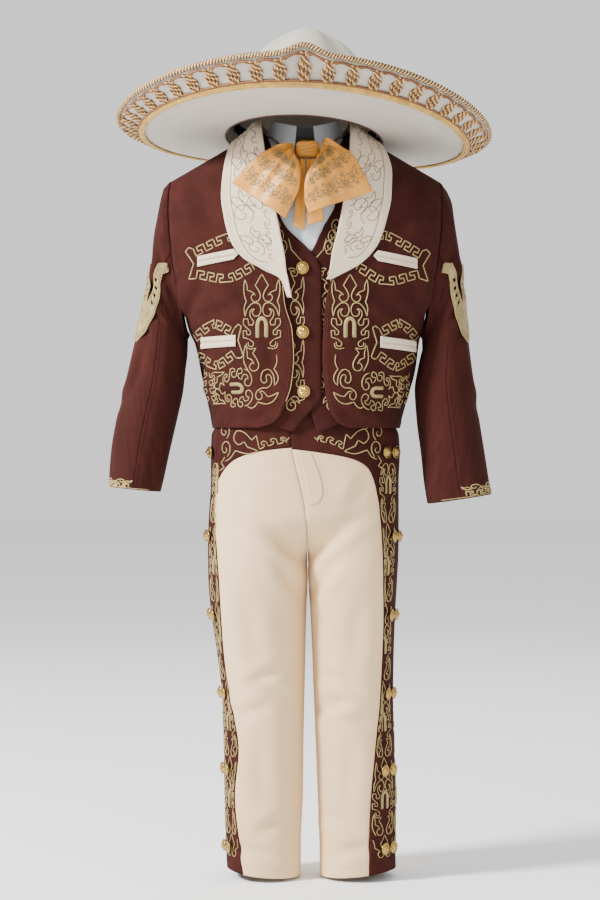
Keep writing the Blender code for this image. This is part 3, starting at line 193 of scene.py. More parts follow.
# Trousers, section by section. Strip is where the side strip's front edge runs.
TROUSERS = (
    (
        "height", "centre", "outer_l", "strip_l", "inner_l", "inner_r", "strip_r", "outer_r", "front",
        "back",
    ),
    (
        (-990, 4, -104.5, -79, -5.5, 20, 84, 123.5, 56, 60),
        (-934, 4, -106.5, -86, -5.5, 19.5, 84, 122, 54, 58),
        (-870, 4, -108, -93, -2.7, 17, 86, 122.5, 55, 58),
        (-805, 4, -109, -87, -2, 14.5, 92, 120.5, 58, 60),
        (-740, 4, -111.5, -99, -0.8, 12, 99, 119, 61, 64),
        (-675, 4, -119, -108, 0.6, 9.5, 102, 120, 65, 70),
        (-620, 4, -127, -111, 1.8, 7, 103, 122, 71, 78),
        (-578, 4, -130.5, -114, 3.7, 4.3, 103, 124.5, 76, 84),
        (-530, 3, -131, -118, 2.8, 3.2, 102, 126.5, 80, 88),
        (-490, 1, -129.5, -120.5, 0.8, 1.2, 99.5, 126.5, 82, 90),
        (-448, -7, -127, -119, -1, 3, 97, 126.5, 82.5, 89),
        (-410, -16, -127, -118, -5, 0, 97, 128, 82, 86),
        (-384, -19, -126, -117, -6, -2, 97, 126.5, 82.3, 80.3),
        (-372, -19, -119.5, -110, -6, -2, 92, 121, 82.1, 74.4),
        (-337, -19, -107, -98, -6, -2, 83, 109, 78, 69),
    ),
)
LEG_TOP = -490             # above this the two legs are one body
LEG_SPLIT = -578           # below this each leg is a tube of its own
# Horseshoe: v runs round it from its back end to its front end. Then its inner and its outer edge:
# degrees in front of the sleeve's outer line, and height.
SHOE = (
    ("v", "in_turn", "in_z", "out_turn", "out_z"),
    (
        (0, 46, -157, 9, -157), (0.07, 45.5, -164, 9, -168), (0.085, 45.5, -166, 15, -171),
        (0.2, 46, -178, 14, -188), (0.35, 49, -193, 12, -212), (0.43, 52, -203, 14, -236),
        (0.5, 56, -208, 34, -262), (0.57, 59, -205, 62, -246), (0.65, 63, -199, 78, -224),
        (0.8, 69, -184, 90, -196), (0.915, 73.5, -171, 91, -172), (0.93, 74, -169, 97, -169),
        (1, 79, -157, 94, -157),
    ),
)
STRIP_BACK = 30            # degrees behind the outseam where the side strip ends
# Degrees in front of the outseam where each row of studs sits, from the top row down.
STUD_TURNS = {-1: (14, 15, 17, 18, 20, 20), 1: (42, 27, 25, 28, 38, 39)}

# Lower edge of the front yoke, from the middle seam (0) to the side strip (1).
YOKE = (
    ("across", "edge_l", "edge_r"),
    (
        (0, -402, -404), (0.25, -406, -409), (0.45, -411, -413), (0.63, -418, -418), (0.81, -431, -428),
        (0.93, -445, -449), (1, -458, -482),
    ),
)
BACK_YOKE_EDGE = -418
WAISTBAND = 24
HEM = -977
HEM_RISE = 10              # the hem rises this much at the outseam

# Sombrero, in its own sections from the head opening outwards. Sides are along X, ends along Y.
BRIM = (
    ("station", "side", "end", "level", "tilt", "saddle"),
    (
        (0, 105, 112, 13, 18.5, -0.5), (1, 140, 150, 15, 21, 1), (2, 182, 194, 16.5, 22.5, 4),
        (3, 214.5, 231, 19.5, 22.5, 7.5), (3.35, 220.5, 238, 21.5, 23, 9),
        (4, 230.5, 248, 28.5, 26, 11.5), (5, 246, 262, 38, 28, 14.5),
    ),
)
HAT_ROLL = 0.046           # the hat is a little higher on the viewer's left
HAT_MIDDLE = -1.5
RIM_PEAK = 11              # the rim rises to a small peak in front
RIM_PEAK_HALF = 21
RIM_FOLD = 3.35            # station where the rim turns up
RIM_STATIONS = 1.65        # stations from there to its edge
CROWN = (
    ("step", "radius", "height", "back"),
    (
        (0, 1, 0, 0), (1, 0.96, 22, 2), (2, 0.87, 60, 6), (3, 0.74, 96, 12), (4, 0.57, 122, 17),
        (5, 0.38, 142, 20), (6, 0.21, 155, 21), (7, 0.06, 161, 22),
    ),
)

# Bow wings: upper and lower outline from the knot to the hem, and how far they stand forward.
WING_L = (
    ("along", "top_x", "top_z", "low_x", "low_z", "stand"),
    (
        (0, -15, -1, -14.3, -19, 6), (0.2, -30, -2.5, -7, -30.5, 19),
        (0.4, -48.5, -11, -5.5, -45.5, 22), (0.6, -65.5, -23, -7, -63.5, 20),
        (0.8, -81.5, -38, -16, -84, 16), (1, -96.5, -55, -25.5, -104, 12),
    ),
)
WING_R = (
    ("along", "top_x", "top_z", "low_x", "low_z", "stand"),
    (
        (0, 21.4, 0.5, 20.8, -18, 4), (0.2, 28.5, 4.5, 11, -31, 19), (0.4, 45.5, -6, 1, -47.5, 22),
        (0.6, 62.5, -18, -1.5, -63.5, 20), (0.8, 76, -41.5, -1, -80, 16), (1, 88.5, -67.5, 4, -97, 12),
    ),
)

# Pocket welts: the middle line's inner and outer end, the height, and how far the inner end leans.
WELTS = (
    ("name", "inner_x", "inner_z", "outer_x", "outer_z", "height", "lean"),
    (
        ("pocket_welt_upper_l", -87, -149, -141, -157.5, 14.5, 12),
        ("pocket_welt_upper_r", 89, -151, 147, -160, 14.5, 12),
        ("pocket_welt_lower_l", -90.5, -261.5, -137.5, -263, 15.5, 0),
        ("pocket_welt_lower_r", 98, -263, 147, -267.5, 15.5, 0),
    ),
)


# ---------------------------------------------------------------- tables and forms
CURVES = {}


def curve(table, name):
    """Keys, values and slopes of one column of a table, worked out once."""
    key = (id(table), name)
    if key not in CURVES:
        names, rows = table
        column = names.index(name)
        keys = [row[0] for row in rows]
        values = [row[column] for row in rows]
        last = len(keys) - 1
        steps = [(values[i + 1] - values[i]) / (keys[i + 1] - keys[i]) for i in range(last)]
        slopes = [steps[0]]
        for before, after in zip(steps, steps[1:]):
            same = before * after > 0
            slopes.append(2 * before * after / (before + after) if same else 0)
        slopes.append(steps[-1])
        CURVES[key] = (keys, values, slopes)
    return CURVES[key]


def read(table, at, name):
    """Value of the named column where the first column is `at`, along a smooth curve."""
    keys, values, slopes = curve(table, name)
    if at <= keys[0]:
        return values[0]
    if at >= keys[-1]:
        return values[-1]
    low = bisect.bisect_right(keys, at) - 1
    span = keys[low + 1] - keys[low]
    t = (at - keys[low]) / span
    rise = values[low + 1] - values[low]
    start = slopes[low] * span
    end = slopes[low + 1] * span
    bend = (3 * rise - 2 * start - end) * t**2 + (start + end - 2 * rise) * t**3
    return values[low] + start * t + bend


def blend(a, b, t):
    return a + (b - a) * t


def ease(t):
    t = min(max(t, 0), 1)
    return t * t * (3 - 2 * t)


def signed_power(value, power):
    return copysign(abs(value) ** power, value)


def lifted(place, a, b, lift, step_a=0.4, step_b=0.4, hand=1):
    """The point place(a, b), moved along the surface's own normal. Hand picks the outer side."""
    if lift == 0:
        return place(a, b)
    along_a = place(a + step_a, b) - place(a - step_a, b)
    along_b = place(a, b + step_b) - place(a, b - step_b)
    return place(a, b) + along_a.cross(along_b).normalized() * lift * hand


# ---------------------------------------------------------------- the forms
def trunk_point(table, turn, level):
    """A point on the body's form: turn in degrees from the front, level over the shoulder and down."""
    top = table[1][-1][0]
    over = level > top
    if over:
        level = 2 * top - level
        turn = copysign(180, turn) - turn if turn else 180
    a = radians(turn)
    x = read(table, level, "centre") + read(table, level, "width") * signed_power(sin(a), ROUNDNESS)
    side = "front" if cos(a) > 0 else "back"
    y = -read(table, level, side) * signed_power(cos(a), ROUNDNESS)
    ramp = ease((level - ARMPIT) / (top - ARMPIT))
    z = level - SHOULDER_SLOPE * max(abs(x) - NECK_HALF, 0) * ramp
    return Vector((x, y, z))


def across_at(table, turn, level):
    """How far from the form's centre line the section's point at this turn lies."""
    return abs(read(table, level, "width") * signed_power(sin(radians(turn)), ROUNDNESS))


def turn_at(table, x, level):
    """Degrees from the front at which the form's section reaches x."""
    top = table[1][-1][0]
    if level > top:
        level = 2 * top - level
    part = (x - read(table, level, "centre")) / read(table, level, "width")
    part = min(max(part, -1), 1)
    return degrees(asin(signed_power(part, 1 / ROUNDNESS)))


def trunk(table, turn, level, lift=0):
    """A point on the form, moved out by lift."""
    return lifted(lambda a, b: trunk_point(table, a, b), turn, level, lift)


def level_at(table, x, z, level, steps):
    """The level whose section has this height at x, found in steps from a first guess."""
    top = table[1][-1][0]
    drop = SHOULDER_SLOPE * max(abs(x) - NECK_HALF, 0)
    for _ in range(steps):
        level = z + drop * ease((level - ARMPIT) / (top - ARMPIT))
    return min(level, top - 1)


def on_front(table, x, z, lift):
    """The point of the form's front that has this x and this height, moved out by lift."""
    level = level_at(table, x, z, z, 12)
    return trunk(table, turn_at(table, x, level), level, lift)


def armhole(side, angle):
    """The armhole seam: angle 0 at the shoulder, 90 in front, 180 at the armpit, 270 behind."""
    a = radians(angle)
    level = blend(ARMPIT, SHOULDER_TOP, 0.5 + 0.5 * cos(a))
    turn = turn_at(JACKET, side * armhole_x(level), level)
    if sin(a) < 0:
        turn = side * 180 - turn
    point = trunk_point(JACKET, turn, level)
    point.x += side * ARMHOLE_GAP
    return point


def armhole_x(level):
    return read(JACKET_EDGES, max(level, ARMPIT), "armhole")


def sleeve_point(side, angle, ring):
    """A point on the sleeve: angle as for the armhole, ring 0 at the armhole and 12 at the hem."""
    tag = "_l" if side < 0 else "_r"
    a = radians(angle)
    at = max(ring, 1)
    outer = Vector((read(SLEEVES, at, "outer_x" + tag), 0, read(SLEEVES, at, "outer_z" + tag)))
    inner = Vector((read(SLEEVES, at, "inner_x" + tag), 0, read(SLEEVES, at, "inner_z" + tag)))
    middle = (outer + inner) / 2
    point = middle + (outer - middle) * signed_power(cos(a), SLEEVE_ROUNDNESS)
    point.x += side * read(SLEEVES, at, "swell") * sin(a) ** 2
    deep = read(SLEEVES, at, "depth") * signed_power(sin(a), SLEEVE_ROUNDNESS)
    point.y = -read(SLEEVES, at, "forward") - deep
    if ring < 1:
        point = armhole(side, angle).lerp(point, max(ring, 0))
    return point


def sleeve(side, angle, ring, lift):
    return lifted(lambda a, b: sleeve_point(side, a, b), angle, ring, lift, 0.4, 0.02, side)


def shoe_spot(side, u, v):
    """Angle and ring of the sleeve at a place of its horseshoe: u across the branch, v round it."""
    turn = blend(read(SHOE, v, "in_turn"), read(SHOE, v, "out_turn"), u)
    height = blend(read(SHOE, v, "in_z"), read(SHOE, v, "out_z"), u)
    low = 1
    high = 9
    for _ in range(12):
        ring = (low + high) / 2
        if sleeve_point(side, turn, ring).z > height:
            low = ring
        else:
            high = ring
    return turn, ring


def leg_point(side, across, height):
    """A point on a trouser leg. Across is 0 at the front seam or inseam, 1 and 2 at the edges of the
    side strip, and 3 at the back seam or inseam."""
    tag = "_l" if side < 0 else "_r"
    outer = read(TROUSERS, height, "outer" + tag)
    strip = read(TROUSERS, height, "strip" + tag)
    inner = read(TROUSERS, height, "inner" + tag)
    front = read(TROUSERS, height, "front")
    back = read(TROUSERS, height, "back")
    centre = read(TROUSERS, height, "centre") + side * SEAM / 2
    panel = min(max(int(across), 0), 2)
    part = across - panel

    edge = degrees(asin(abs((strip - centre) / (outer - centre)) ** (1 / ROUNDNESS)))
    stops = (0, edge, 90 + STRIP_BACK, 180)
    a = radians(blend(stops[panel], stops[panel + 1], part))
    depth = front if cos(a) > 0 else back
    body = Vector((
        centre + (outer - centre) * signed_power(sin(a), ROUNDNESS),
        -depth * signed_power(cos(a), ROUNDNESS),
        height,
    ))
    middle = (outer + inner) / 2
    half = (outer - inner) / 2
    edge = 180 - degrees(acos(min(max((strip - middle) / half, -1), 1)))
    stops = (0, edge, 180 + STRIP_BACK, 360)
    a = radians(blend(stops[panel], stops[panel + 1], part))
    depth = front if sin(a) > 0 else back
    leg = Vector((
        middle - half * signed_power(cos(a), LEG_ROUNDNESS),
        -depth * signed_power(sin(a), LEG_ROUNDNESS),
        height,
    ))
    return body.lerp(leg, tube_share(height))


def tube_share(height):
    """How far the trousers are two separate legs here: 0 on the body, 1 below the crotch."""
    return ease((LEG_TOP - height) / (LEG_TOP - LEG_SPLIT))


def leg(side, across, height, lift=0):
    return lifted(lambda a, b: leg_point(side, a, b), across, height, lift, 0.01, 0.4, side)


def brim_point(turn, station):
    """A point on the hat's brim: turn in degrees from the front, station 0 at the head opening."""
    a = radians(turn)
    x = read(BRIM, station, "side") * sin(a)
    y = -read(BRIM, station, "end") * cos(a)
    z = read(BRIM, station, "level") + read(BRIM, station, "tilt") * cos(a)
    z += read(BRIM, station, "saddle") * cos(2 * a) - HAT_ROLL * x
    if y < 0:
        z += RIM_PEAK * ease((station - RIM_FOLD) / RIM_STATIONS) * exp(-(x / RIM_PEAK_HALF) ** 2)
    return Vector((x + HAT_MIDDLE, y, z))


def crowded(u):
    """Degrees round the hat for u from 0 to 1, with more sections near the front."""
    return 360 * u - 25 * sin(2 * pi * u)


def brim(turn, station, lift=0):
    """A point on the underside of the brim and the outside of its rim, moved out by lift."""
    return lifted(brim_point, turn, station, lift, 0.4, 0.01)


# ---------------------------------------------------------------- meshes
def spaced(low, high, step, rim=0.9):
    """Values from low to high, about step apart, with a close one at each end for a rounded edge."""
    count = max(2, round(abs(high - low) / step))
    values = [blend(low, high, i / count) for i in range(count + 1)]
    if rim:
        near = copysign(rim, high - low)
        values = [low, low + near] + values[1:-1] + [high - near, high]
    return values


def shares(width, step, rim=0.9):
    """The same, as shares of a width in millimetres."""
    return [value / width for value in spaced(0, width, step, rim)]


def new_object(name, mesh, finish):
    made = bpy.data.objects.new(name, mesh)
    mesh.materials.clear()
    mesh.materials.append(finish)
    bpy.context.scene.collection.objects.link(made)
    return made


def smooth_object(name, points, faces, chart, finish):
    """A smooth object. Its chart has a place on the cloth, in millimetres, for each face's corners."""
    mesh = bpy.data.meshes.new(name)
    mesh.from_pydata(points, [], faces)
    layer = mesh.uv_layers.new(name="cloth")
    layer.data.foreach_set("uv", [value * MM for pair in chart for value in pair])
    mesh.shade_smooth()
    return new_object(name, mesh, finish)


def own(made, slot, *nodes):
    """Says which body the piece rides on and which solids it stands for. Its slot is not used."""
    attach(made, "root")
    if nodes:
        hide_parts(*nodes)
    return made


def crease_rise(rows, a, b):
    """Height of the creases at the place (a, b): a trough, with a lower ridge along one side of it."""
    rise = 0
    for at_a, at_b, lean, length, width, depth, bow in rows:
        da = a - at_a
        db = b - at_b
        if abs(da) + abs(db) > length + 4 * abs(width):
            continue
        cosine = cos(radians(lean))
        sine = sin(radians(lean))
        along = 2 * (da * cosine + db * sine) / length
        if abs(along) >= 1:
            continue
        off = (db * cosine - da * sine - bow * along * along) / width
        if abs(off) > 4.5:
            continue
        fade = (1 - along * along) ** 2
        fold = 0.55 * exp(-((off - 1.9) / 1.15) ** 2) - exp(-off * off)
        rise += SET["crease_depth"] * depth * fade * fold
    return rise


def grid_normals(grid, ring):
    """Unit normals of a grid of points, from its neighbours."""
    n = len(grid)
    m = len(grid[0])
    normals = []
    for i in range(n):
        before = grid[(i - 1) % n] if ring else grid[max(i - 1, 0)]
        after = grid[(i + 1) % n] if ring else grid[min(i + 1, n - 1)]
        row = []
        for j in range(m):
            over = after[j] - before[j]
            up = grid[i][min(j + 1, m - 1)] - grid[i][max(j - 1, 0)]
            row.append(over.cross(up).normalized())
        normals.append(row)
    return normals


def shell(name, place, across, along, wall, inside, finish, ring=False):
    """A closed cloth shell. place(u, v) is its outer face, and its wall lies on the side of inside."""
    grid = [[place(u, v) for v in along] for u in across]
    n = len(grid)
    m = len(grid[0])
    normals = grid_normals(grid, ring)
    facing = 0
    for i in range(0, n, 3):
        for j in range(0, m, 3):
            facing += (grid[i][j] - inside).dot(normals[i][j])
    hand = 1 if facing > 0 else -1
    points = []
    outer = []
    inner = []
    for i in range(n):
        outer_row = []
        inner_row = []
        for j in range(m):
            point = grid[i][j]
            normal = normals[i][j] * hand
            outer_row.append(len(points))
            if j in (0, m - 1) or (not ring and i in (0, n - 1)):
                points.append((point - normal * wall * 0.5) * MM)
                inner_row.append(len(points) - 1)
            else:
                points.append(point * MM)
                inner_row.append(len(points))
                points.append((point - normal * wall) * MM)
        outer.append(outer_row)
        inner.append(inner_row)
    us, vs, span_u, span_v = arc_lengths(grid, ring)
    faces = []
    chart = []
    for i in range(n if ring else n - 1):
        for j in range(m - 1):
            corners = ((i, j), (i + 1, j), (i + 1, j + 1), (i, j + 1))
            if hand < 0:
                corners = corners[::-1]
            faces.append([outer[a % n][b] for a, b in corners])
            faces.append([inner[a % n][b] for a, b in corners[::-1]])
            pairs = [(us[a][b], vs[a % n][b]) for a, b in corners]
            chart.extend(pairs)
            chart.extend(pairs[::-1])
    made = smooth_object(name, points, faces, chart, finish)
    area = sum(p.area for p in made.data.polygons) / 2
    made["span"] = (span_u * MM, span_v * MM, area)
    return made


def arc_lengths(grid, ring):
    """How far each grid point lies along and up the cloth, measured from its middle and its foot."""
    n = len(grid)
    m = len(grid[0])
    us = [[0] * m]
    for i in range(1, n + 1 if ring else n):
        here = grid[i % n]
        us.append([us[-1][j] + (here[j] - grid[i - 1][j]).length for j in range(m)])
    span_u = max(us[-1])
    middles = [last / 2 for last in us[-1]]
    us = [[row[j] - middles[j] for j in range(m)] for row in us]
    vs = []
    for i in range(n):
        row = [0]
        for j in range(1, m):
            row.append(row[-1] + (grid[i][j] - grid[i][j - 1]).length)
        vs.append(row)
    span_v = max(row[-1] for row in vs)
    return us, vs, span_u, span_v


def cloth(made):
    """Removes the span that shell() stored on the piece. Nothing is declared or cut; the smaller of its
    area and its width times its length is worked out and not kept.
    """
    width, length, area = made["span"]
    del made["span"]
    min(area, width * length)


# A slot name for each look's cloth pieces; own() is given it but does not use it.
SLOTS = {
    "suede": "brown_suede", "suede_vest": "brown_suede", "cream_suede": "cream_suede",
    "gabardine": "cream_cloth", "satin": "peach_satin", "cotton": "white_cotton",
    "felt": "cream_felt", "band": "navy_band", "applique": "gilt_applique",
}


def sew(name, place, across, along, wall, inside, finish, ring=False):
    made = shell(name, place, across, along, wall, inside, look(finish), ring)
    own(made, SLOTS[finish], name)
    cloth(made)


# ---------------------------------------------------------------- charts and threads
def drawn(path, step=2.6):
    """A line through a chart's points, smooth except at points whose third number marks a corner."""
    runs = [[]]
    for point in path:
        runs[-1].append(Vector(point[:2]))
        if len(point) == 3 and len(runs[-1]) > 1:
            runs.append([Vector(point[:2])])
    line = []
    for run in runs:
        if len(run) < 2:
            continue
        ends = [run[0] * 2 - run[1]] + run + [run[-1] * 2 - run[-2]]
        for i in range(1, len(ends) - 2):
            a, b, c, d = ends[i - 1:i + 3]
            count = max(1, round((c - b).length / step))
            for k in range(count):
                t = k / count
                point = b * 2 + (c - a) * t + (a * 2 - b * 5 + c * 4 - d) * t * t
                line.append((point + (b * 3 - a - c * 3 + d) * t**3) / 2)
    line.append(Vector(path[-1][:2]))
    return line


def moved(path, x, y, across=1, up=None, turn=0):
    """A chart moved to (x, y), scaled across and up, and turned by degrees. Corners stay corners."""
    up = abs(across) if up is None else up
    cosine = cos(radians(turn))
    sine = sin(radians(turn))
    out = []
    for point in path:
        a = point[0] * across
        b = point[1] * up
        out.append((x + a * cosine - b * sine, y + a * sine + b * cosine) + tuple(point[2:]))
    return out


class Spine:
    """A curved base line. at(s, t) is the point s along it and t to its left."""

    def __init__(self, path):
        self.line = drawn(path, 3)
        self.far = [0]
        for a, b in zip(self.line, self.line[1:]):
            self.far.append(self.far[-1] + (b - a).length)

    def at(self, s, t):
        i = min(max(bisect.bisect_right(self.far, s) - 1, 0), len(self.line) - 2)
        step = self.line[i + 1] - self.line[i]
        part = (s - self.far[i]) / max(self.far[i + 1] - self.far[i], 0.001)
        side = Vector((-step.y, step.x)).normalized()
        return self.line[i] + step * part + side * t

    def lay(self, path):
        """A chart in (s, t) bent along the base line. Corners stay corners."""
        return [tuple(self.at(point[0], point[1])) + tuple(point[2:]) for point in path]


KEY = ((0, 0), (0, 1), (0.66, 1), (0.66, 0.55), (0.32, 0.55), (0.32, 0))


def keys(length, count, high, turned=False):
    """A row of keys along a base line. They face the other way after the middle."""
    pitch = length / count
    path = []
    for k in range(count):
        mirrored = k >= count / 2
        for x, y in KEY:
            x = 1 - x if mirrored else x
            path.append(((k + x) * pitch, y * high, 1))
        if mirrored:
            path[-len(KEY):] = path[-len(KEY):][::-1]
    path.append((length, 0, 1))
    if turned:
        path = [(s, -t, 1) for s, t, _ in path]
    return path


class Threads:
    """Raised threads lying on one surface. at(a, b) gives the surface's point and normal."""

    def __init__(self, at, wide=1, high=1):
        self.at = at
        self.wide = wide * SET["thread_width"]
        self.high = high * SET["thread_height"]
        self.points = []
        self.faces = []
        self.chart = []

    def run(self, line, wide=None, high=None):
        """Lays one thread along a line of chart points. Its ends are drawn in."""
        self.ribbon([self.at(p[0], p[1]) for p in line], wide, high)

    def ribbon(self, spots, wide=None, high=None):
        wide = (wide or 1) * self.wide
        high = (high or 1) * self.high
        n = len(spots)
        if n < 2:
            return
        shape = ((-0.5, -0.12), (-0.36, 0.7), (0, 1), (0.36, 0.7), (0.5, -0.12))
        first = len(self.points)
        far = 0
        fars = []
        for i, (point, normal) in enumerate(spots):
            before = spots[max(i - 1, 0)][0]
            after = spots[min(i + 1, n - 1)][0]
            side = (after - before).cross(normal).normalized()
            far += (point - before).length
            fars.append(far)
            small = 0.55 if i in (0, n - 1) else 1 + (0.05 if i % 2 else -0.05)
            for across, up in shape:
                spot = point + side * across * wide * small
                self.points.append((spot + normal * up * high * small) * MM)
        for i in range(n - 1):
            for k in range(5):
                a = first + 5 * i + k
                b = first + 5 * i + (k + 1) % 5
                self.faces.append((a, a + 5, b + 5, b))
                v = k * wide * 0.3
                w = (k + 1) * wide * 0.3
                self.chart.extend(((fars[i], v), (fars[i + 1], v), (fars[i + 1], w), (fars[i], w)))
        for end in (0, n - 1):
            ring = [first + 5 * end + k for k in range(5)]
            self.faces.append(ring if end == 0 else ring[::-1])
            self.chart.extend([(fars[end], k * wide * 0.3) for k in range(5)])

    def finish(self, name, finish, slot):
        own(smooth_object(name, self.points, self.faces, self.chart, look(finish)), slot)


def on_cloth(place, rise=None, hand=1, step_a=0.8, step_b=0.8):
    """A surface for threads: place(a, b) with its normal, raised by its creases."""

    def at(a, b):
        here = place(a, b)
        normal = (place(a + step_a, b) - here).cross(place(a, b + step_b) - here).normalized() * hand
        if rise is not None:
            here = here + normal * rise(here)
        return here, normal

    return at


def tube_mesh(lines, radius, sides=6, closed=False):
    """Round cords through lines of points."""
    points = []
    faces = []
    chart = []
    for line in lines:
        n = len(line)
        first = len(points)
        side = None
        far = 0
        fars = []
        for i, point in enumerate(line):
            before = line[(i - 1) % n] if closed else line[max(i - 1, 0)]
            after = line[(i + 1) % n] if closed else line[min(i + 1, n - 1)]
            along = (after - before).normalized()
            if side is None:
                side = along.orthogonal().normalized()
            side = (side - along * side.dot(along)).normalized()
            up = along.cross(side)
            if i:
                far += (point - line[i - 1]).length
            fars.append(far)
            for k in range(sides):
                a = 2 * pi * k / sides
                points.append((point + side * cos(a) * radius + up * sin(a) * radius) * MM)
        for i in range(n if closed else n - 1):
            following = (i + 1) % n
            end_far = fars[following] if following else far + 1
            for k in range(sides):
                a = first + sides * i + k
                b = first + sides * i + (k + 1) % sides
                c = first + sides * following + (k + 1) % sides
                d = first + sides * following + k
                faces.append((a, b, c, d))
                v = 6 * k / sides
                w = 6 * (k + 1) / sides
                chart.extend(((fars[i], v), (fars[i], w), (end_far, w), (end_far, v)))
        if not closed:
            for end in (0, n - 1):
                ring = [first + sides * end + k for k in range(sides)]
                faces.append(ring[::-1] if end == 0 else ring)
                chart.extend([(fars[end], 6 * k / sides) for k in range(sides)])
    return points, faces, chart


def mesh_object(name, parts, finish):
    """One object from several parts of (points, faces, chart)."""
    points = []
    faces = []
    chart = []
    for part in parts:
        base = len(points)
        points.extend(part[0])
        faces.extend([[base + k for k in face] for face in part[1]])
        chart.extend(part[2])
    return smooth_object(name, points, faces, chart, look(finish))


def turned_shape(profile, sides, place, pressed):
    """A turned form from (radius, height) pairs about +Z, with its pressed pattern, put in place."""
    points = []
    for radius, height in profile:
        for k in range(sides):
            a = 2 * pi * k / sides
            high = height + pressed(radius, a)
            points.append(place @ (Vector((radius * cos(a), radius * sin(a), high)) * MM))
    faces = []
    for i in range(len(profile) - 1):
        for k in range(sides):
            a = i * sides + k
            b = i * sides + (k + 1) % sides
            faces.append((a, b, b + sides, a + sides))
    faces.append(tuple(range(sides))[::-1])
    last = (len(profile) - 1) * sides
    faces.append(tuple(last + k for k in range(sides)))
    return points, faces, [(0, 0)] * sum(len(face) for face in faces)


def standing_on(point, normal):
    """Placement with +Z along the normal and +X level."""
    across = Vector((0, 0, 1)).cross(normal).normalized()
    rise = normal.cross(across)
    turn = Matrix((across, rise, normal)).transposed().to_4x4()
    return Matrix.Translation(point * MM) @ turn


# ---------------------------------------------------------------- looks
class Nodes:
    """A material whose nodes are made and linked one by one."""

    def __init__(self, name, rough, metal=0):
        self.made = bpy.data.materials.new(name)
        self.made.use_nodes = True
        self.tree = self.made.node_tree
        self.shader = self.tree.nodes["Principled BSDF"]
        self.shader.inputs["Roughness"].default_value = rough
        self.shader.inputs["Metallic"].default_value = metal
        self.place = self.tree.nodes.new("ShaderNodeTexCoord").outputs["UV"]

    def add(self, kind, inputs, **settings):
        node = self.tree.nodes.new(kind)
        for key, value in settings.items():
            setattr(node, key, value)
        for key, value in inputs.items():
            if hasattr(value, "is_output"):
                self.tree.links.new(value, node.inputs[key])
            else:
                node.inputs[key].default_value = value
        return node

    def noise(self, scale, detail=3, rough=0.55, stretch=None):
        place = self.place
        if stretch:
            place = self.add("ShaderNodeMapping", {"Vector": place, "Scale": stretch}).outputs["Vector"]
        inputs = {"Vector": place, "Scale": scale, "Detail": detail, "Roughness": rough}
        return self.add("ShaderNodeTexNoise", inputs).outputs["Fac"]

    def wave(self, scale, turn=0, distortion=0):
        turned = {"Vector": self.place, "Rotation": (0, 0, radians(turn))}
        place = self.add("ShaderNodeMapping", turned).outputs["Vector"]
        inputs = {"Vector": place, "Scale": scale, "Distortion": distortion}
        return self.add("ShaderNodeTexWave", inputs).outputs["Fac"]

    def ramp(self, value, low, high, start=0, end=1):
        made = self.add("ShaderNodeValToRGB", {"Fac": value})
        made.color_ramp.elements[0].position = start
        made.color_ramp.elements[1].position = end
        made.color_ramp.elements[0].color = (*low, 1)
        made.color_ramp.elements[1].color = (*high, 1)
        return made.outputs["Color"]

    def veil(self, value, most, start, end):
        """A grey from black to `most`, which says how much of a second colour lies over the first."""
        return self.ramp(value, (0, 0, 0), (most, most, most), start, end)

    def mix(self, share, first, second):
        first, second = (c if hasattr(c, "is_output") else (*c, 1) for c in (first, second))
        inputs = {"Factor": share, 6: first, 7: second}
        return self.add("ShaderNodeMix", inputs, data_type="RGBA").outputs[2]

    def math(self, operation, first, second):
        return self.add("ShaderNodeMath", {0: first, 1: second}, operation=operation).outputs[0]

    def colour(self, value):
        self.tree.links.new(value, self.shader.inputs["Base Color"])

    def rough(self, value, low, high):
        spread = self.add("ShaderNodeMapRange", {"Value": value, "To Min": low, "To Max": high})
        self.tree.links.new(spread.outputs["Result"], self.shader.inputs["Roughness"])

    def bump(self, height, strength, distance):
        normal = self.shader.inputs["Normal"]
        inputs = {"Height": height, "Strength": strength, "Distance": distance}
        if normal.links:
            inputs["Normal"] = normal.links[0].from_socket
        made = self.add("ShaderNodeBump", inputs)
        self.tree.links.new(made.outputs["Normal"], normal)

    def specular(self, level):
        self.shader.inputs["Specular IOR Level"].default_value = level

    def sheen(self, weight, rough, shade):
        self.shader.inputs["Sheen Weight"].default_value = weight
        self.shader.inputs["Sheen Roughness"].default_value = rough
        self.shader.inputs["Sheen Tint"].default_value = (*shade, 1)


def tint(colour, share):
    return tuple(min(value * share, 1) for value in colour)


def suede_look(name, colour, spread, nap=1):
    """Brushed suede: cloudy nap, a fine grain, and lighter brushed patches."""
    made = Nodes(name, 0.93)
    dark = tint(colour, 1 - spread)
    light = tint(colour, 1 + spread)
    cloud = made.noise(11, 5, 0.62, (1, 0.55, 1))
    patch = made.noise(42, 4, 0.6)
    grain = made.noise(900, 2, 0.7)
    base = made.ramp(cloud, dark, light, 0.3, 0.72)
    brushed = made.mix(made.veil(patch, 0.42, 0.42, 0.8), base, tint(colour, 1 + 3 * spread))
    made.colour(made.mix(made.veil(grain, 0.22, 0.35, 0.75), brushed, dark))
    made.bump(patch, 0.18, 0.0012)
    made.bump(grain, 0.35 * nap, 0.0003)
    made.sheen(0.1, 0.6, light)
    made.specular(0.1)
    return made.made


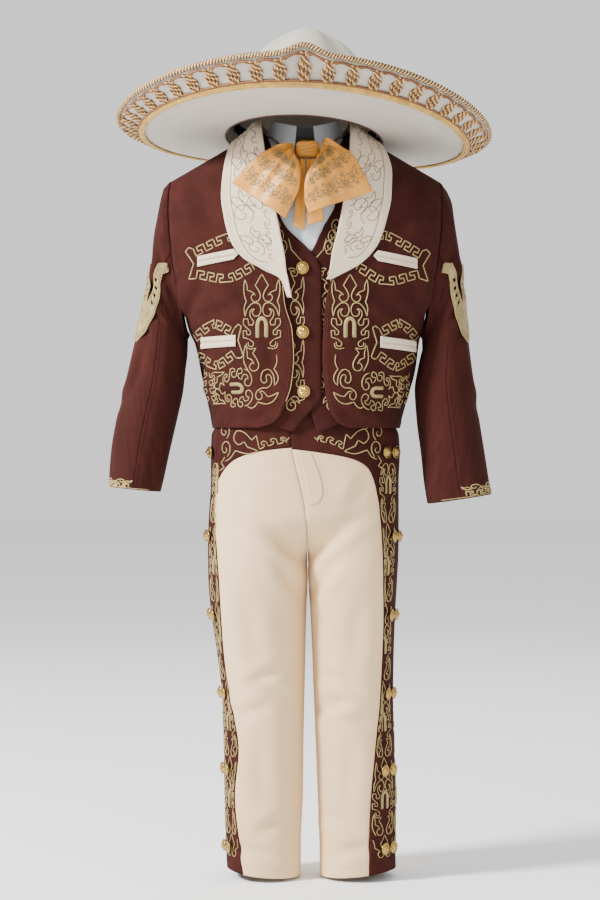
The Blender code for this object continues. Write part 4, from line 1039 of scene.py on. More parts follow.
def twill_look(name, colour, spread, pitch):
    """Woven cloth with a diagonal twill and a soft shift between warm and cool."""
    made = Nodes(name, 0.82)
    dark = tint(colour, 1 - spread)
    light = tint(colour, 1 + spread)
    cloud = made.noise(7, 4, 0.55, (1, 0.45, 1))
    slub = made.noise(130, 3, 0.6, (1, 0.12, 1))
    twill = made.wave(0.32 / pitch, 58, 1.2)
    lined = made.mix(made.veil(slub, 0.16, 0.4, 0.75), made.ramp(cloud, dark, light, 0.32, 0.68), dark)
    made.colour(made.mix(made.veil(twill, 0.1, 0, 0.6), lined, dark))
    made.bump(slub, 0.12, 0.0006)
    made.bump(twill, 0.3, 0.00016)
    made.sheen(0.1, 0.5, light)
    made.specular(0.2)
    return made.made


def satin_look(name, colour):
    """Satin: long floats that shine across, with fine weft lines painted paler as a highlight."""
    made = Nodes(name, 0.42)
    cloud = made.noise(14, 3, 0.5)
    lines = made.noise(260, 2, 0.6, (0.08, 1, 1))
    base = made.ramp(cloud, tint(colour, 0.86), tint(colour, 1.12), 0.3, 0.7)
    # pale is a painted highlight: a lighter colour mixed into the base along the weft lines
    pale = tuple(value ** 0.8 for value in colour)
    made.colour(made.mix(made.veil(lines, 0.35, 0.4, 0.8), base, pale))
    made.rough(lines, 0.32, 0.52)
    made.bump(lines, 0.22, 0.0003)
    made.sheen(0.05, 0.4, pale)
    made.specular(0.3)
    made.shader.inputs["Anisotropic"].default_value = 0.45
    return made.made


def felt_look(name, colour):
    """Smooth pressed felt with short fibres."""
    made = Nodes(name, 0.9)
    cloud = made.noise(9, 4, 0.6)
    fibre = made.noise(420, 4, 0.7)
    base = made.ramp(cloud, tint(colour, 0.89), tint(colour, 1.11), 0.3, 0.7)
    made.colour(made.mix(made.veil(fibre, 0.2, 0.4, 0.8), base, tint(colour, 0.8)))
    made.bump(fibre, 0.3, 0.0003)
    made.sheen(0.12, 0.5, (0.9, 0.86, 0.8))
    return made.made


def cotton_look(name, colour):
    """Plain white cotton, warp over weft."""
    made = Nodes(name, 0.78)
    cloud = made.noise(12, 3, 0.5)
    made.colour(made.ramp(cloud, tint(colour, 0.92), tint(colour, 1.08), 0.3, 0.7))
    made.bump(made.math("MAXIMUM", made.wave(420, 0), made.wave(420, 90)), 0.25, 0.00012)
    made.sheen(0.1, 0.5, (1, 1, 1))
    return made.made


def thread_look(name, colour, metal, rough=0.5, pitch=1.1):
    """Twisted metallic or silk thread."""
    made = Nodes(name, rough, metal)
    dark = tint(colour, 0.62)
    twist = made.wave(0.32 / (pitch * MM), 52)
    base = made.ramp(made.noise(60, 3, 0.6), dark, tint(colour, 1.38), 0.25, 0.7)
    shade = made.ramp(twist, (0.55, 0.55, 0.55), (0, 0, 0), 0, 0.55)
    made.colour(made.mix(shade, base, dark))
    made.bump(twist, 0.55, 0.0004)
    return made.made


def gilt_look(name, colour):
    """Gilded metal, a little rubbed and scratched."""
    made = Nodes(name, 0.3, 1)
    worn = made.noise(150, 4, 0.6)
    made.colour(made.ramp(worn, tint(colour, 0.5), tint(colour, 1.5), 0.3, 0.7))
    made.rough(worn, 0.2, 0.42)
    made.bump(made.noise(900, 2, 0.6), 0.12, 0.0001)
    return made.made


# For each look: how it is made, its material's name, the colour setting, a share of that colour, then
# what else its maker takes.
LOOKS = {
    "suede": (suede_look, "brown_suede", "suede", 1, 0.36),
    # The waistcoat's suede is the jacket's suede darkened to 0.88: painted shade, for the waistcoat lies
    # inside the jacket's fronts.
    "suede_vest": (suede_look, "waistcoat_suede", "suede", 0.88, 0.32),
    # Nail holes: the suede seen through them, which is real, darkened to 0.3 as painted shade in the sunk
    # holes.
    "nail_hole": (suede_look, "nail_hole", "suede", 0.3, 0.2),
    "cream_suede": (suede_look, "cream_suede", "collar", 1, 0.1, 0.7),
    "gabardine": (twill_look, "cream_gabardine", "gabardine", 1, 0.1, 1 * MM),
    "band": (twill_look, "navy_band", "sweatband", 1, 0.4, 0.8 * MM),
    "satin": (satin_look, "peach_satin", "satin", 1),
    "felt": (felt_look, "cream_felt", "felt", 1),
    "cotton": (cotton_look, "white_cotton", "cotton", 1),
    "gilt": (gilt_look, "gilt_metal", "gilt", 1),
    "gold_thread": (thread_look, "gold_thread", "gold_thread", 1, 0.15),
    "olive_thread": (thread_look, "olive_gold_thread", "gold_thread", 0.55, 0.1),
    "applique": (thread_look, "gilt_applique", "gold_thread", 0.85, 0.2, 0.45, 0.9),
    "copper_cord": (thread_look, "copper_cord", "copper_cord", 1, 0.15, 0.5, 1.4),
    "gold_cord": (thread_look, "gold_cord", "gold_cord", 1, 0.1, 0.45, 1.4),
    "cream_cord": (thread_look, "cream_cord", "gold_cord", 0.8, 0, 0.7, 1.4),
    "dark_cord": (thread_look, "dark_cord", "suede", 1.8, 0, 0.7, 1.4),
    "braid": (thread_look, "braid_gold", "braid", 1, 0.2, 0.5, 1.2),
    "cream_stitch": (thread_look, "cream_stitch", "collar", 0.95, 0, 0.7),
    "brown_stitch": (thread_look, "brown_stitch", "suede", 1.5, 0, 0.7),
}

MADE_LOOKS = {}


def look(name):
    """The named material, made when it is first asked for."""
    if name not in MADE_LOOKS:
        make, title, setting, share, *others = LOOKS[name]
        MADE_LOOKS[name] = make(title, tint(SET[setting], share), *others)
    return MADE_LOOKS[name]


# ---------------------------------------------------------------- creases laid one by one
# Each row: the middle of the crease, its lean in degrees, its length, its half width, its depth and
# its bow. A negative half width puts the ridge on the other side of the trough.
JACKET_FRONT = (
    (-150, -215, 62, 120, 9, 1.7, 6), (-128, -95, 96, 110, 13, 1.1, -5),
    (-120, -225, 18, 90, 8, 0.9, 5), (-96, -335, 12, 110, 10, 1.2, -4), (-60, -362, 24, 70, 7, 0.9, 3),
    (-140, -300, 74, 90, -8, 1.1, 4), (-45, -290, 84, 120, 9, 0.8, -4),
    (152, -210, 118, 110, -9, 1.8, -6), (132, -90, 84, 120, -13, 1, 6),
    (118, -222, 160, 80, 8, 0.9, -5), (100, -345, 168, 120, 10, 1.2, 4), (55, -358, 155, 80, -7, 1, 3),
    (140, -305, 106, 90, 8, 1.1, -4),
)
JACKET_BACK = (
    (-120, -215, 118, 130, 10, 1.9, 7), (118, -220, 64, 120, -10, 1.8, -6),
    (-60, -120, 24, 130, 11, 1.1, 6), (66, -112, 152, 120, 12, 1.2, -6),
    (-35, -300, 12, 150, 10, 1.5, -6), (42, -322, 171, 140, -9, 1.3, 5), (-90, -345, 30, 90, 8, 1.1, 4),
    (95, -292, 146, 100, 9, 1.2, 5), (8, -215, 92, 170, 13, 0.9, 4),
)
# On a sleeve the place is millimetres round from its outer line (front is positive) and down it.
SLEEVE_CREASES = (
    (44, 168, 152, 92, 7.5, 2.1, 6), (58, 196, 160, 100, 7, 1.8, 5), (40, 222, 20, 86, -8, 1.5, -5),
    (70, 142, 140, 70, 7, 1.5, 4), (72, 92, 108, 90, -9, 1.6, 5), (20, 60, 84, 90, 11, 1.2, -5),
    (52, 270, 104, 120, 9, 1.1, 5), (22, 312, 164, 70, 8, 1, 4), (-40, 176, 30, 96, -8, 2, -6),
    (-62, 204, 18, 90, 7, 1.7, -4), (-36, 240, 160, 80, 8, 1.3, 5), (-70, 110, 70, 100, 9, 1.5, -5),
    (-48, 300, 82, 110, 9, 1, 5),
)
TROUSER_FRONT = (
    (-28, -530, 142, 100, 8, 2, 7), (-52, -508, 152, 120, 10, 1.5, 7), (-20, -578, 122, 90, 8, 1.7, 5),
    (30, -528, 36, 90, -8, 1.9, -6), (55, -500, 26, 110, -10, 1.4, -6), (24, -575, 58, 90, -8, 1.6, -5),
    (-72, -640, 100, 150, 13, 1.2, 6), (66, -650, 82, 160, -13, 1.2, -6),
    (-55, -705, 22, 76, 8, 1.8, -5), (-40, -728, 156, 80, -9, 1.7, 5), (-72, -752, 14, 70, 8, 1.4, 4),
    (52, -712, 158, 84, 8, 1.7, 5), (40, -742, 20, 74, -9, 1.8, -5), (70, -764, 165, 70, 8, 1.3, 4),
    (-60, -830, 94, 150, 12, 1.1, -5), (58, -842, 86, 150, -12, 1.1, 5),
    (-46, -905, 26, 76, 9, 1.4, -4), (-66, -938, 168, 84, 8, 1.5, 4), (52, -900, 152, 80, 9, 1.4, 5),
    (66, -934, 14, 80, -8, 1.5, -4), (-88, -470, 118, 70, -9, 1, 4), (70, -462, 60, 70, 9, 1, 4),
)
TROUSER_BACK = (
    (-40, -545, 148, 130, 10, 2.4, 9), (44, -548, 32, 130, -10, 2.4, -9),
    (-60, -578, 158, 110, 9, 1.9, 6), (62, -582, 22, 100, -9, 1.9, -6),
    (-70, -480, 106, 110, 13, 1.3, 5), (72, -476, 74, 110, -13, 1.3, -5), (-56, -700, 12, 90, 9, 2, 6),
    (-50, -724, 170, 96, -8, 1.8, -5), (54, -708, 168, 92, 9, 2, -6), (60, -736, 8, 90, 8, 1.7, 5),
    (-62, -830, 92, 160, 13, 1.1, 5), (62, -836, 88, 160, -13, 1.1, -5), (-58, -925, 18, 90, 9, 1.5, 5),
    (60, -918, 160, 90, 9, 1.5, -5),
)
SHIRT_CREASES = (
    (8, -118, 96, 90, 4, 0.9, 3), (-6, -100, 84, 70, 4, 0.8, -3), (20, -92, 110, 60, 3.5, 0.7, 2),
)
BRIM_WAVES = ((-0.5, 28), (0.7, 74), (-0.8, 131), (0.6, 190), (-0.6, 262), (0.7, 318))


def front_and_back(front, back):
    """Crease height by where a point lies: one table for the front, another for the back."""

    def rise(point):
        rows = front if point.y < 0 else back
        return crease_rise(rows, point.x, point.z)

    return rise


jacket_rise = front_and_back(JACKET_FRONT, JACKET_BACK)
trouser_rise = front_and_back(TROUSER_FRONT, TROUSER_BACK)


def raised(place, rise, hand, step_a, step_b):
    """place(a, b) moved out by the creases' height there."""

    def at(a, b):
        here = place(a, b)
        high = rise(here)
        if abs(high) < 0.01:
            return here
        normal = (place(a + step_a, b) - here).cross(place(a, b + step_b) - here).normalized()
        return here + normal * high * hand

    return at


# ---------------------------------------------------------------- jacket
BODY_MIDDLE = Vector((0, 0, -170))
SHOULDER_LOW = -20         # the sections lie closer together above this level
SHOULDER_LEVELS = [SHOULDER_LOW, -14, -8, -2, 3, 7, 11, 14, 17, 20, 22, 24, 25.2, SHOULDER_TOP, 27]
JACKET_HEM = -376


def to_shoulder_seam(here, level):
    """Past the top level the panel closes over to the seam along the shoulder."""
    if level <= SHOULDER_TOP:
        return here
    return Vector((here.x, copysign(SEAM / 2, here.y), here.z + 0.6))


def jacket_base(turn, level):
    return trunk_point(JACKET, turn, level)


jacket_face = raised(jacket_base, jacket_rise, 1, 0.4, 0.4)


def jacket_front_at(x, z):
    return on_front(JACKET, x, z, 0)


def jacket_back_at(x, z):
    """The point of the jacket's back at this x and height."""
    level = level_at(JACKET, x, z, on_front(JACKET, x, z, 0).z, 5)
    return trunk_point(JACKET, 180 - turn_at(JACKET, x, level), level)


front_cloth = on_cloth(jacket_front_at, jacket_rise)
back_cloth = on_cloth(jacket_back_at, jacket_rise, -1)


def free_edge(side, level):
    return read(JACKET_EDGES, level, "free_l" if side < 0 else "free_r")


def jacket_pieces():
    levels = spaced(JACKET_HEM, SHOULDER_LOW, 4)[:-2] + SHOULDER_LEVELS
    for side, tag in SIDES:

        def front(u, level, side=side):
            high = min(level, SHOULDER_TOP)
            free = turn_at(JACKET, free_edge(side, level), level)
            seam = turn_at(JACKET, side * armhole_x(high), high) if level > ARMPIT else side * 90
            return to_shoulder_seam(jacket_face(blend(free, seam, u), high), level)

        sew("jacket_front_" + tag, front, shares(160, 3.6), levels, SUEDE_WALL, BODY_MIDDLE, "suede")

    def back(u, level):
        high = min(level, SHOULDER_TOP)
        seam = turn_at(JACKET, armhole_x(high), high) if level > ARMPIT else 90
        turn = 180 - (2 * u - 1) * seam
        x = across_at(JACKET, turn, high)
        if high > SHOULDER_LOW:
            scoop = 20 * max(1 - (x / NECK_HALF) ** 2, 0)
            share = (high - SHOULDER_LOW) / (SHOULDER_TOP - SHOULDER_LOW)
            high = blend(SHOULDER_LOW, SHOULDER_TOP - scoop, share)
        here = jacket_face(turn, high)
        if x > NECK_HALF:
            return to_shoulder_seam(here, level)
        return here + Vector((0, 0, 0.05 * max(level - SHOULDER_TOP, 0)))

    sew("jacket_back", back, shares(420, 5.2), levels, SUEDE_WALL, BODY_MIDDLE, "suede")


# ---------------------------------------------------------------- sleeves
GIRTH = 0.92               # millimetres round the sleeve for each degree
DOWN = 37                  # millimetres down it for each ring


def sleeve_rise(angle, ring):
    turn = angle if angle <= 180 else angle - 360
    seam = 1.4 * exp(-((turn - 90) / 2.6) ** 2) - 1.2 * exp(-((turn - 96) / 3) ** 2)
    swell = 1.3 * ease(ring / 0.2) * exp(-(ring / 0.8) ** 2) * max(cos(radians(turn)), 0)
    return crease_rise(SLEEVE_CREASES, turn * GIRTH, ring * DOWN) + 0.5 * seam * ease(ring) + swell


def sleeve_face(side, angle, ring):
    """The sleeve's outer face with its creases, fuller at the shoulder and raised at the front seam."""
    return sleeve(side, angle, ring, sleeve_rise(angle, ring))


def sleeve_pieces():
    for side, tag in SIDES:
        inside = (sleeve_point(side, 0, 6) + sleeve_point(side, 180, 6)) / 2
        rings = [0, 0.04, 0.12, 0.25, 0.45, 0.7] + [1 + 11 * i / 96 for i in range(96)] + [11.97, 12]

        def upper(u, ring, side=side):
            return sleeve_face(side, blend(-90, 90, u), ring)

        def under(u, ring, side=side):
            return sleeve_face(side, blend(90, 270, u), ring)

        for word, place in (("upper", upper), ("under", under)):
            name = "sleeve_" + word + "_" + tag
            sew(name, place, shares(150, 3.8), rings, SUEDE_WALL, inside, "suede")
        sleeve_shoe(side, tag, inside)


# Nail holes of the sleeve's horseshoe: how far round it from its back end.
NAILS = (0.14, 0.21, 0.28, 0.35, 0.65, 0.72, 0.79, 0.86)


def sleeve_shoe(side, tag, inside):
    """The big horseshoe: a padded gilt plate with serifed ends, raised edges and sunk nail holes."""

    def place(u, v):
        angle, ring = shoe_spot(side, u, v)
        across = abs(u - 0.5) * 2
        high = 2.6 - 0.9 * across**6
        if min(abs(v - nail) for nail in NAILS) < 0.02 and abs(u - 0.42) < 0.2:
            high -= 1.3
        return sleeve(side, angle, ring, 0.35 * sleeve_rise(angle, ring) + high)

    around = [i / 200 for i in range(201)]
    across = [0, 0.03, 0.08, 0.16, 0.23, 0.27, 0.34, 0.42, 0.5, 0.57, 0.61, 0.7, 0.8, 0.9, 0.97, 1]
    sew(
        "sleeve_horseshoe_" + tag, place, across, around, 1.4, inside,
        "applique",
    )

    def on_shoe(u, v):
        here = place(u, v)
        return here, (here - inside).normalized()

    rims = Threads(on_shoe, 0.75, 0.85)
    for u in (0.025, 0.14, 0.975):
        rims.run([(u, i / 110) for i in range(111)])
    for k in range(60):
        v = (k + 0.5) / 60
        rims.run([(0.74 + 0.06 * sin(2 * k), v - 0.004), (0.84, v + 0.005), (0.94, v)], 0.7, 0.6)
    rims.finish("sleeve_horseshoe_rim_" + tag, "gold_thread", "gilt_applique")
    # The nail holes are filled with dark suede: painted shade in the sunk holes.
    holes = Threads(on_shoe, 2.7, 0.5)
    for nail in NAILS:
        holes.run([(0.42, nail + 0.006 * (k - 3)) for k in range(7)])
    holes.finish("sleeve_nail_holes_" + tag, "nail_hole", "gilt_applique")


# ---------------------------------------------------------------- collar and pockets
def shawl(u, v):
    """The shawl collar: u from its left end round the neck to its right end, v from roll to edge."""
    reach = 2 * u - 1
    tag = "_l" if reach < 0 else "_r"
    station = 11 * max(1 - abs(reach), 0) ** 0.85
    x, level = (
        blend(read(COLLAR, station, "roll_" + key + tag), read(COLLAR, station, "outer_" + key + tag), v)
        for key in ("x", "level")
    )
    rest = 0.8 + COLLAR_WALL + 3 * exp(-((station - 9) / 1.3) ** 2)
    lift = blend(rest, read(COLLAR, station, "roll_lift") + COLLAR_WALL, max(1 - v, 0) ** 1.6)
    point = trunk(JACKET, turn_at(JACKET, x, level), level, lift)
    point.z += read(COLLAR, station, "rise") * max(1 - v, 0) ** 1.3
    return point


STATION = 30               # chart millimetres for one station of the collar
COLLAR_WIDE = 62           # chart millimetres from the collar's roll to its edge


def on_collar(side):
    """A surface for threads on one half of the collar: across from the roll, and up its stations."""

    def place(a, b):
        reach = side * (1 - max(b / STATION / 11, 0) ** (1 / 0.85))
        return shawl((reach + 1) / 2, a / COLLAR_WIDE)

    return on_cloth(place, None, -side)


def collar_pieces():
    sew(
        "jacket_collar", shawl, shares(760, 4.4), shares(60, 3), COLLAR_WALL, Vector((0, 0, -120)),
        "cream_suede",
    )
    for name, inner_x, inner_z, outer_x, outer_z, height, lean in WELTS[1]:

        def welt(u, v):
            inner = inner_x + copysign(lean * (v - 0.5), inner_x)
            x = blend(inner, outer_x, u)
            z = blend(inner_z, outer_z, u) + blend(-height / 2, height / 2, v)
            slit = exp(-(height * (v - 0.5) / 0.75) ** 2) * ease(8 * u) * ease(8 * (1 - u))
            roll = 0.7 * (1 - abs(abs(v - 0.5) * 4 - 1) ** 2)
            point = on_front(JACKET, x, z, 1.9 + roll - 1.6 * slit)
            point.y -= jacket_rise(point)
            return point

        up = [0, 0.05] + [0.05 + 0.9 * i / 26 for i in range(1, 26)] + [0.95, 1]
        sew(
            name, welt, shares(52, 1.6, 0.8), up, 1.7, Vector((0, 0, -200)),
            "cream_suede",
        )


# ---------------------------------------------------------------- waistcoat and shirt
def vest_pieces():
    top = [-20, -12, -5, 1, 6, 10, 13, 16, 18, 20, 21.4, VEST_TOP]
    levels = [-381, -380.2] + spaced(-378, -20, 4.2, 0)[:-1] + top
    for side, tag, sink in ((-1, "l", 0), (1, "r", -2.1)):

        def front(u, level, side=side, tag=tag, sink=sink):
            x = blend(read(VEST_EDGES, level, "free_" + tag), side * read(VEST_EDGES, level, "side"), u)
            if level < -350:
                side_hem = VEST_HEM + VEST_SIDE_RISE * ease((u - 0.4) / 0.4)
                level = blend(level, max(level, side_hem), ease(u * 2.4))
            return trunk(VEST, turn_at(VEST, x, level), level, sink)

        sew("vest_front_" + tag, front, shares(130, 4.2), levels, VEST_WALL, BODY_MIDDLE, "suede_vest")

    def back(u, level):
        reach = 2 * u - 1
        part = (read(VEST_EDGES, level, "side") - 0.6) / read(VEST, level, "width")
        edge = degrees(asin(min(part, 1) ** (1 / ROUNDNESS)))
        turn = 180 - reach * edge
        x = across_at(VEST, turn, level)
        if level > -50:
            scoop = 22 * max(1 - (x / 54) ** 2, 0)
            level = min(level, -50 + (level + 50) * (1 - scoop / (VEST_TOP + 50)))
        return trunk(VEST, turn, level)

    levels = [-352, -351] + spaced(-348, -20, 5, 0)[:-1] + top
    sew("vest_back", back, shares(300, 5.5), levels, VEST_WALL, BODY_MIDDLE, "suede_vest")
    for number, (x, z) in enumerate(BUTTONS, start=1):
        seat = on_front(VEST, x, z, 1.4)
        normal = (seat - on_front(VEST, x, z, 0)).normalized()
        name = "vest_button_" + str(number)
        own(mesh_object(name, [button_form(standing_on(seat, normal))], "gilt"), "gilt_metal", name)


def button_form(place):
    """A domed button with a turned-up rim and a rosette of ten petals pressed into its dome."""

    def petals(radius, angle):
        inside = ease((6.4 - radius) / 1.6) * ease((radius - 1.5) / 1.2)
        return 0.42 * inside * cos(10 * angle) + 0.5 * exp(-(radius / 1.3) ** 2)

    rim = [(-0.9, -0.6), (0, 0), (0, 0.9), (-0.5, 1.5), (-1.3, 1.1), (-1.8, 1.2)]
    rim = [(BUTTON_RADIUS + inwards, height) for inwards, height in rim]
    dome = []
    for i in range(12):
        a = radians(12 + 78 * i / 11)
        radius = (BUTTON_RADIUS - 1.9) * cos(a) / cos(radians(12))
        dome.append((radius, 1.2 + 3.2 * sin(a) - 0.65))
    dome[-1] = (0.15, dome[-1][1])
    return turned_shape(rim + dome, 60, place, petals)


def shirt_pieces():

    def panel(u, level, front):
        reach = 2 * u - 1
        side = (read(VEST_EDGES, level, "side") - 4) / read(VEST, level, "width")
        edge = degrees(asin(min(side, 1) ** (1 / ROUNDNESS)))
        turn = reach * edge
        x = across_at(VEST, turn, level)
        if level > -60:
            scoop = (34 if front else 16) * max(1 - (x / 46) ** 2, 0)
            level = min(level, -60 + (level + 60) * (1 - scoop / (SHIRT_TOP + 60)))
        point = trunk(VEST, turn if front else 180 - turn, level, SHIRT_SINK)
        if front:
            point.y -= crease_rise(SHIRT_CREASES, point.x, point.z)
            point.y -= 0.9 * exp(-((point.x - 4) / 13) ** 8)
        return point

    levels = [SHIRT_LOW] + spaced(-320, -60, 4, 0) + spaced(-56, 0, 4, 0)
    levels += [4, 8, 12, 15, 17.5, 20, SHIRT_TOP]
    for name, front in (("shirt_front", True), ("shirt_back", False)):

        def place(u, level, front=front):
            return panel(u, level, front)

        sew(name, place, shares(230, 5 if front else 7), levels, SHIRT_WALL, BODY_MIDDLE, "cotton")

    def collar(u, v):
        turn = blend(16, 344, u)
        a = radians(turn)
        near_front = max(cos(a), 0) ** 2
        flare = blend(52, 45 - 5 * near_front, v)
        deep = blend(50 + 22 * near_front, 44, v)
        low = blend(18.4 - 5 * min(cos(a), 0), -18, near_front ** 1.5)
        high = 38 - 12 * near_front
        return Vector((flare * sin(a), -deep * cos(a), blend(low, high, v)))

    sew(
        "shirt_collar", collar, shares(300, 4), shares(40, 3), SHIRT_WALL, Vector((0, 0, 10)),
        "cotton",
    )


# ---------------------------------------------------------------- bow
def stand(x, z, out):
    """A point in front of the collar and shirt, out mm clear of the jacket's form."""
    return Vector((x, on_front(JACKET, x, min(z, -8), 0).y - out, z))


# Folds of a wing: across it (0 below, 1 above), how wide, how deep, and how fast each fades outwards.
WING_FOLDS = (
    (0.16, 0.05, 2.6, 1.5), (0.3, 0.06, -2.2, 1.1), (0.47, 0.08, 5.6, 1.3), (0.64, 0.06, -2.4, 1),
    (0.78, 0.05, 3.4, 1.2), (0.9, 0.04, 1.8, 1.6),
)


def wing_point(side, u, v):
    table = WING_L if side < 0 else WING_R
    x = blend(read(table, u, "low_x"), read(table, u, "top_x"), v)
    z = blend(read(table, u, "low_z"), read(table, u, "top_z"), v)
    out = read(table, u, "stand") - 0.8 * u
    out += 7 * sin(pi * v) * (1 - 0.6 * u) + 4.5 * sin(2.2 * pi * v) * u
    for at, wide, deep, fade in WING_FOLDS:
        bend = at + 0.08 * u * sin(6 * at)
        out -= deep * exp(-((v - bend) / wide) ** 2) * max(1 - u * fade * 0.8, 0)
    return stand(x, z, out + (2.2 if side > 0 else 0))


def bow_pieces():
    middle = Vector((0, 0, -20))
    for side, tag in SIDES:

        def wing(u, v, side=side):
            return wing_point(side, u, v)

        sew(
            "bow_wing_" + tag, wing, shares(115, 1.7), shares(75, 1.7), SATIN_WALL, middle,
            "satin",
        )

        def tail(u, v, side=side):
            x = blend(-15.5, 0, u) if side < 0 else blend(3, 25, u)
            x = blend(x, x * 0.6, v)
            z = blend(-112 + 7 * u * side, -23, v)
            fold = 1.6 * sin(7 * u + 1.5 * side) * v + 1.2 * sin(4 * u + 5 * v)
            return stand(x, z, blend(1, 8.5, v) + fold)

        sew(
            "bow_tail_" + tag, tail, shares(22, 1.3), shares(92, 2), SATIN_WALL, middle,
            "satin",
        )
    own(mesh_object("bow_knot", [knot_form()], "satin"), "peach_satin", "bow_knot")


# Folds of the knot: height at its middle, lean and depth.
KNOT_FOLDS = ((6.2, 0.22, 1.3), (0.8, 0.3, 1.8), (-5.2, 0.16, 1.5), (3.4, 0.26, -0.9), (-2.2, 0.24, -0.9))


def knot_form():
    """The knot: a soft rounded block, wrapped by folds that run across it."""
    centre = Vector((3.2, on_front(JACKET, 1, -8, 0).y - 8, -9.5))
    rows = 34
    columns = 56
    points = []
    for i in range(rows + 1):
        b = pi * i / rows
        for k in range(columns):
            a = 2 * pi * k / columns
            raw = Vector((sin(b) * sin(a), -sin(b) * cos(a), cos(b)))
            block = 1 / max(abs(raw.x) ** 3.2 + abs(raw.y) ** 3.2 + abs(raw.z) ** 3.2, 0.001) ** (1 / 3.2)
            point = Vector((raw.x * 15.8, raw.y * 8.2, raw.z * 11.8)) * block
            fold = 0
            for low, lean, deep in KNOT_FOLDS:
                fold += deep * exp(-((point.z - low - lean * point.x) / 1.5) ** 2)
            if point.y < 0:
                point.y += fold * sin(b)
            point.z -= 1.5 * exp(-(point.x / 6) ** 2) * (1 if point.z > 0 else -1) * 0.6
            points.append((centre + point) * MM)
    faces = []
    chart = []
    for i in range(rows):
        for k in range(columns):
            a = i * columns + k
            b = i * columns + (k + 1) % columns
            faces.append((a, a + columns, b + columns, b))
            chart.extend(((k, i), (k, i + 1), (k + 1, i + 1), (k + 1, i)))
    return points, faces, chart


# ---------------------------------------------------------------- trousers
def hem(across):
    """Height of the trousers' hem, which rises towards the outseam."""
    return HEM + HEM_RISE * exp(-((across - 1.5) / 0.8) ** 2)


# The curved free edge of the fly, as shares of the right front panel.
FLY = (
    ("height", "edge"),
    ((-477, 0.06), (-474, 0.115), (-467, 0.165), (-455, 0.195), (-440, 0.19), (-409, 0.145)),
)


def leg_face(side):
    """The leg's outer face with its creases."""

    def place(across, height):
        return leg_point(side, across, height)

    return raised(place, trouser_rise, side, 0.01, 0.4)


def strip_wide(side, height):
    """Width of the side strip at this height."""
    spots = [leg_point(side, 1 + i / 8, height) for i in range(9)]
    return sum((b - a).length for a, b in zip(spots, spots[1:]))


def trouser_pieces():
    seat = Vector((0, 0, -400))
    for side, tag in SIDES:
        face = leg_face(side)

        def edge(across, tag=tag):
            return read(YOKE, across, "edge_" + tag)

        def yoke(u, v, face=face):
            return face(u, blend(edge(u) + 0.15, WAIST_TOP, v))

        sew("trousers_yoke_" + tag, yoke, shares(105, 2.6), shares(75, 2.8), TROUSER_WALL, seat, "suede")

        def front(u, v, face=face):
            return face(u, blend(hem(u), edge(u) - 0.15, v))

        def strip(u, v, face=face):
            return face(1 + u, blend(hem(1 + u), WAIST_TOP, v))

        def back(u, v, face=face):
            return face(2 + u, blend(hem(2 + u), BACK_YOKE_EDGE - 0.15, v))

        inside = Vector((side * 63, 0, -700))
        for name, place, finish, wide, high in (
            ("trousers_front_", front, "gabardine", 105, 560),
            ("trousers_strip_", strip, "suede", 95, 640),
            ("trousers_back_", back, "gabardine", 120, 560),
        ):
            sew(name + tag, place, shares(wide, 3.6), shares(high, 4.4), TROUSER_WALL, inside, finish)

    def back_yoke(u, v):
        reach = 2 * u - 1
        side = -1 if reach < 0 else 1
        return leg(side, 3 - abs(reach), blend(BACK_YOKE_EDGE + 0.15, WAIST_TOP, v))

    sew("trousers_back_yoke", back_yoke, shares(240, 4), shares(80, 4), TROUSER_WALL, seat, "suede")

    def band(u, v):
        reach = 6 * u
        side = 1 if reach <= 3 else -1
        across = reach if side > 0 else 6 - reach
        height = WAIST_TOP - 1 - WAISTBAND * (1 - v)
        return leg(side, across, height, -(TROUSER_WALL + 0.6))

    around = [i / 110 for i in range(110)]
    sew(
        "trousers_waistband", band, around, shares(24, 2.5), TROUSER_WALL, Vector((0, 0, -350)),
        "suede", ring=True,
    )

    right = leg_face(1)

    def fly(u, v):
        height = blend(-477, -409, v)
        wide = blend(0.04, read(FLY, height, "edge"), u)
        point = right(wide, height)
        across = right(wide + 0.01, height) - point
        return point + across.cross(right(wide, height + 0.4) - point).normalized() * 1.15

    sew(
        "trousers_fly", fly, shares(16, 1.5), shares(69, 2.2), 1, Vector((0, 0, -440)),
        "gabardine",
    )


# ---------------------------------------------------------------- studs
def stud_across(side, height, turn):
    """How far across the side strip the studs sit, from its front edge (0) to its back edge (1)."""
    tag = "_l" if side < 0 else "_r"
    outer = read(TROUSERS, height, "outer" + tag)
    strip = read(TROUSERS, height, "strip" + tag)
    inner = read(TROUSERS, height, "inner" + tag)
    middle = (outer + inner) / 2
    edge = degrees(acos(min(abs(strip - middle) / abs(outer - middle), 1)))
    return (edge - turn) / (edge + STRIP_BACK)


def concho_form(place):
    """A domed concho with a beaded rim, a fluted dome and a small boss."""

    def flutes(radius, angle):
        ring = exp(-((radius - STUD_RADIUS + 0.8) / 0.5) ** 2)
        inner = ease((5.6 - radius) / 1.2) * ease((radius - 2.2) / 1)
        return 0.3 * ring * cos(20 * angle) + 0.28 * inner * cos(10 * angle)

    rim = [(-1, -0.7), (0, -0.1), (0, 0.7), (-0.6, 1.35), (-1.4, 1.2), (-1.9, 0.95)]
    profile = [(STUD_RADIUS + inwards, height) for inwards, height in rim]
    profile += [(5.6, 1.5), (4.6, 2.5), (3.6, 3.1), (2.7, 3.4), (2.1, 3.5), (1.9, 4.2)]
    profile += [(1.4, 4.75), (0.7, 5), (0.1, 5.05)]
    return turned_shape(profile, 40, place, flutes)


def link_form(place, turn):
    """One oval chain link, lying flat or standing on edge."""
    line = []
    for k in range(14):
        a = 2 * pi * k / 14
        point = Vector((3 * cos(a), 1.7 * sin(a), 0))
        if turn:
            point = Vector((point.x, 0, point.y))
        line.append(place @ (point * MM) / MM)
    return tube_mesh([line], 0.55, 6, True)


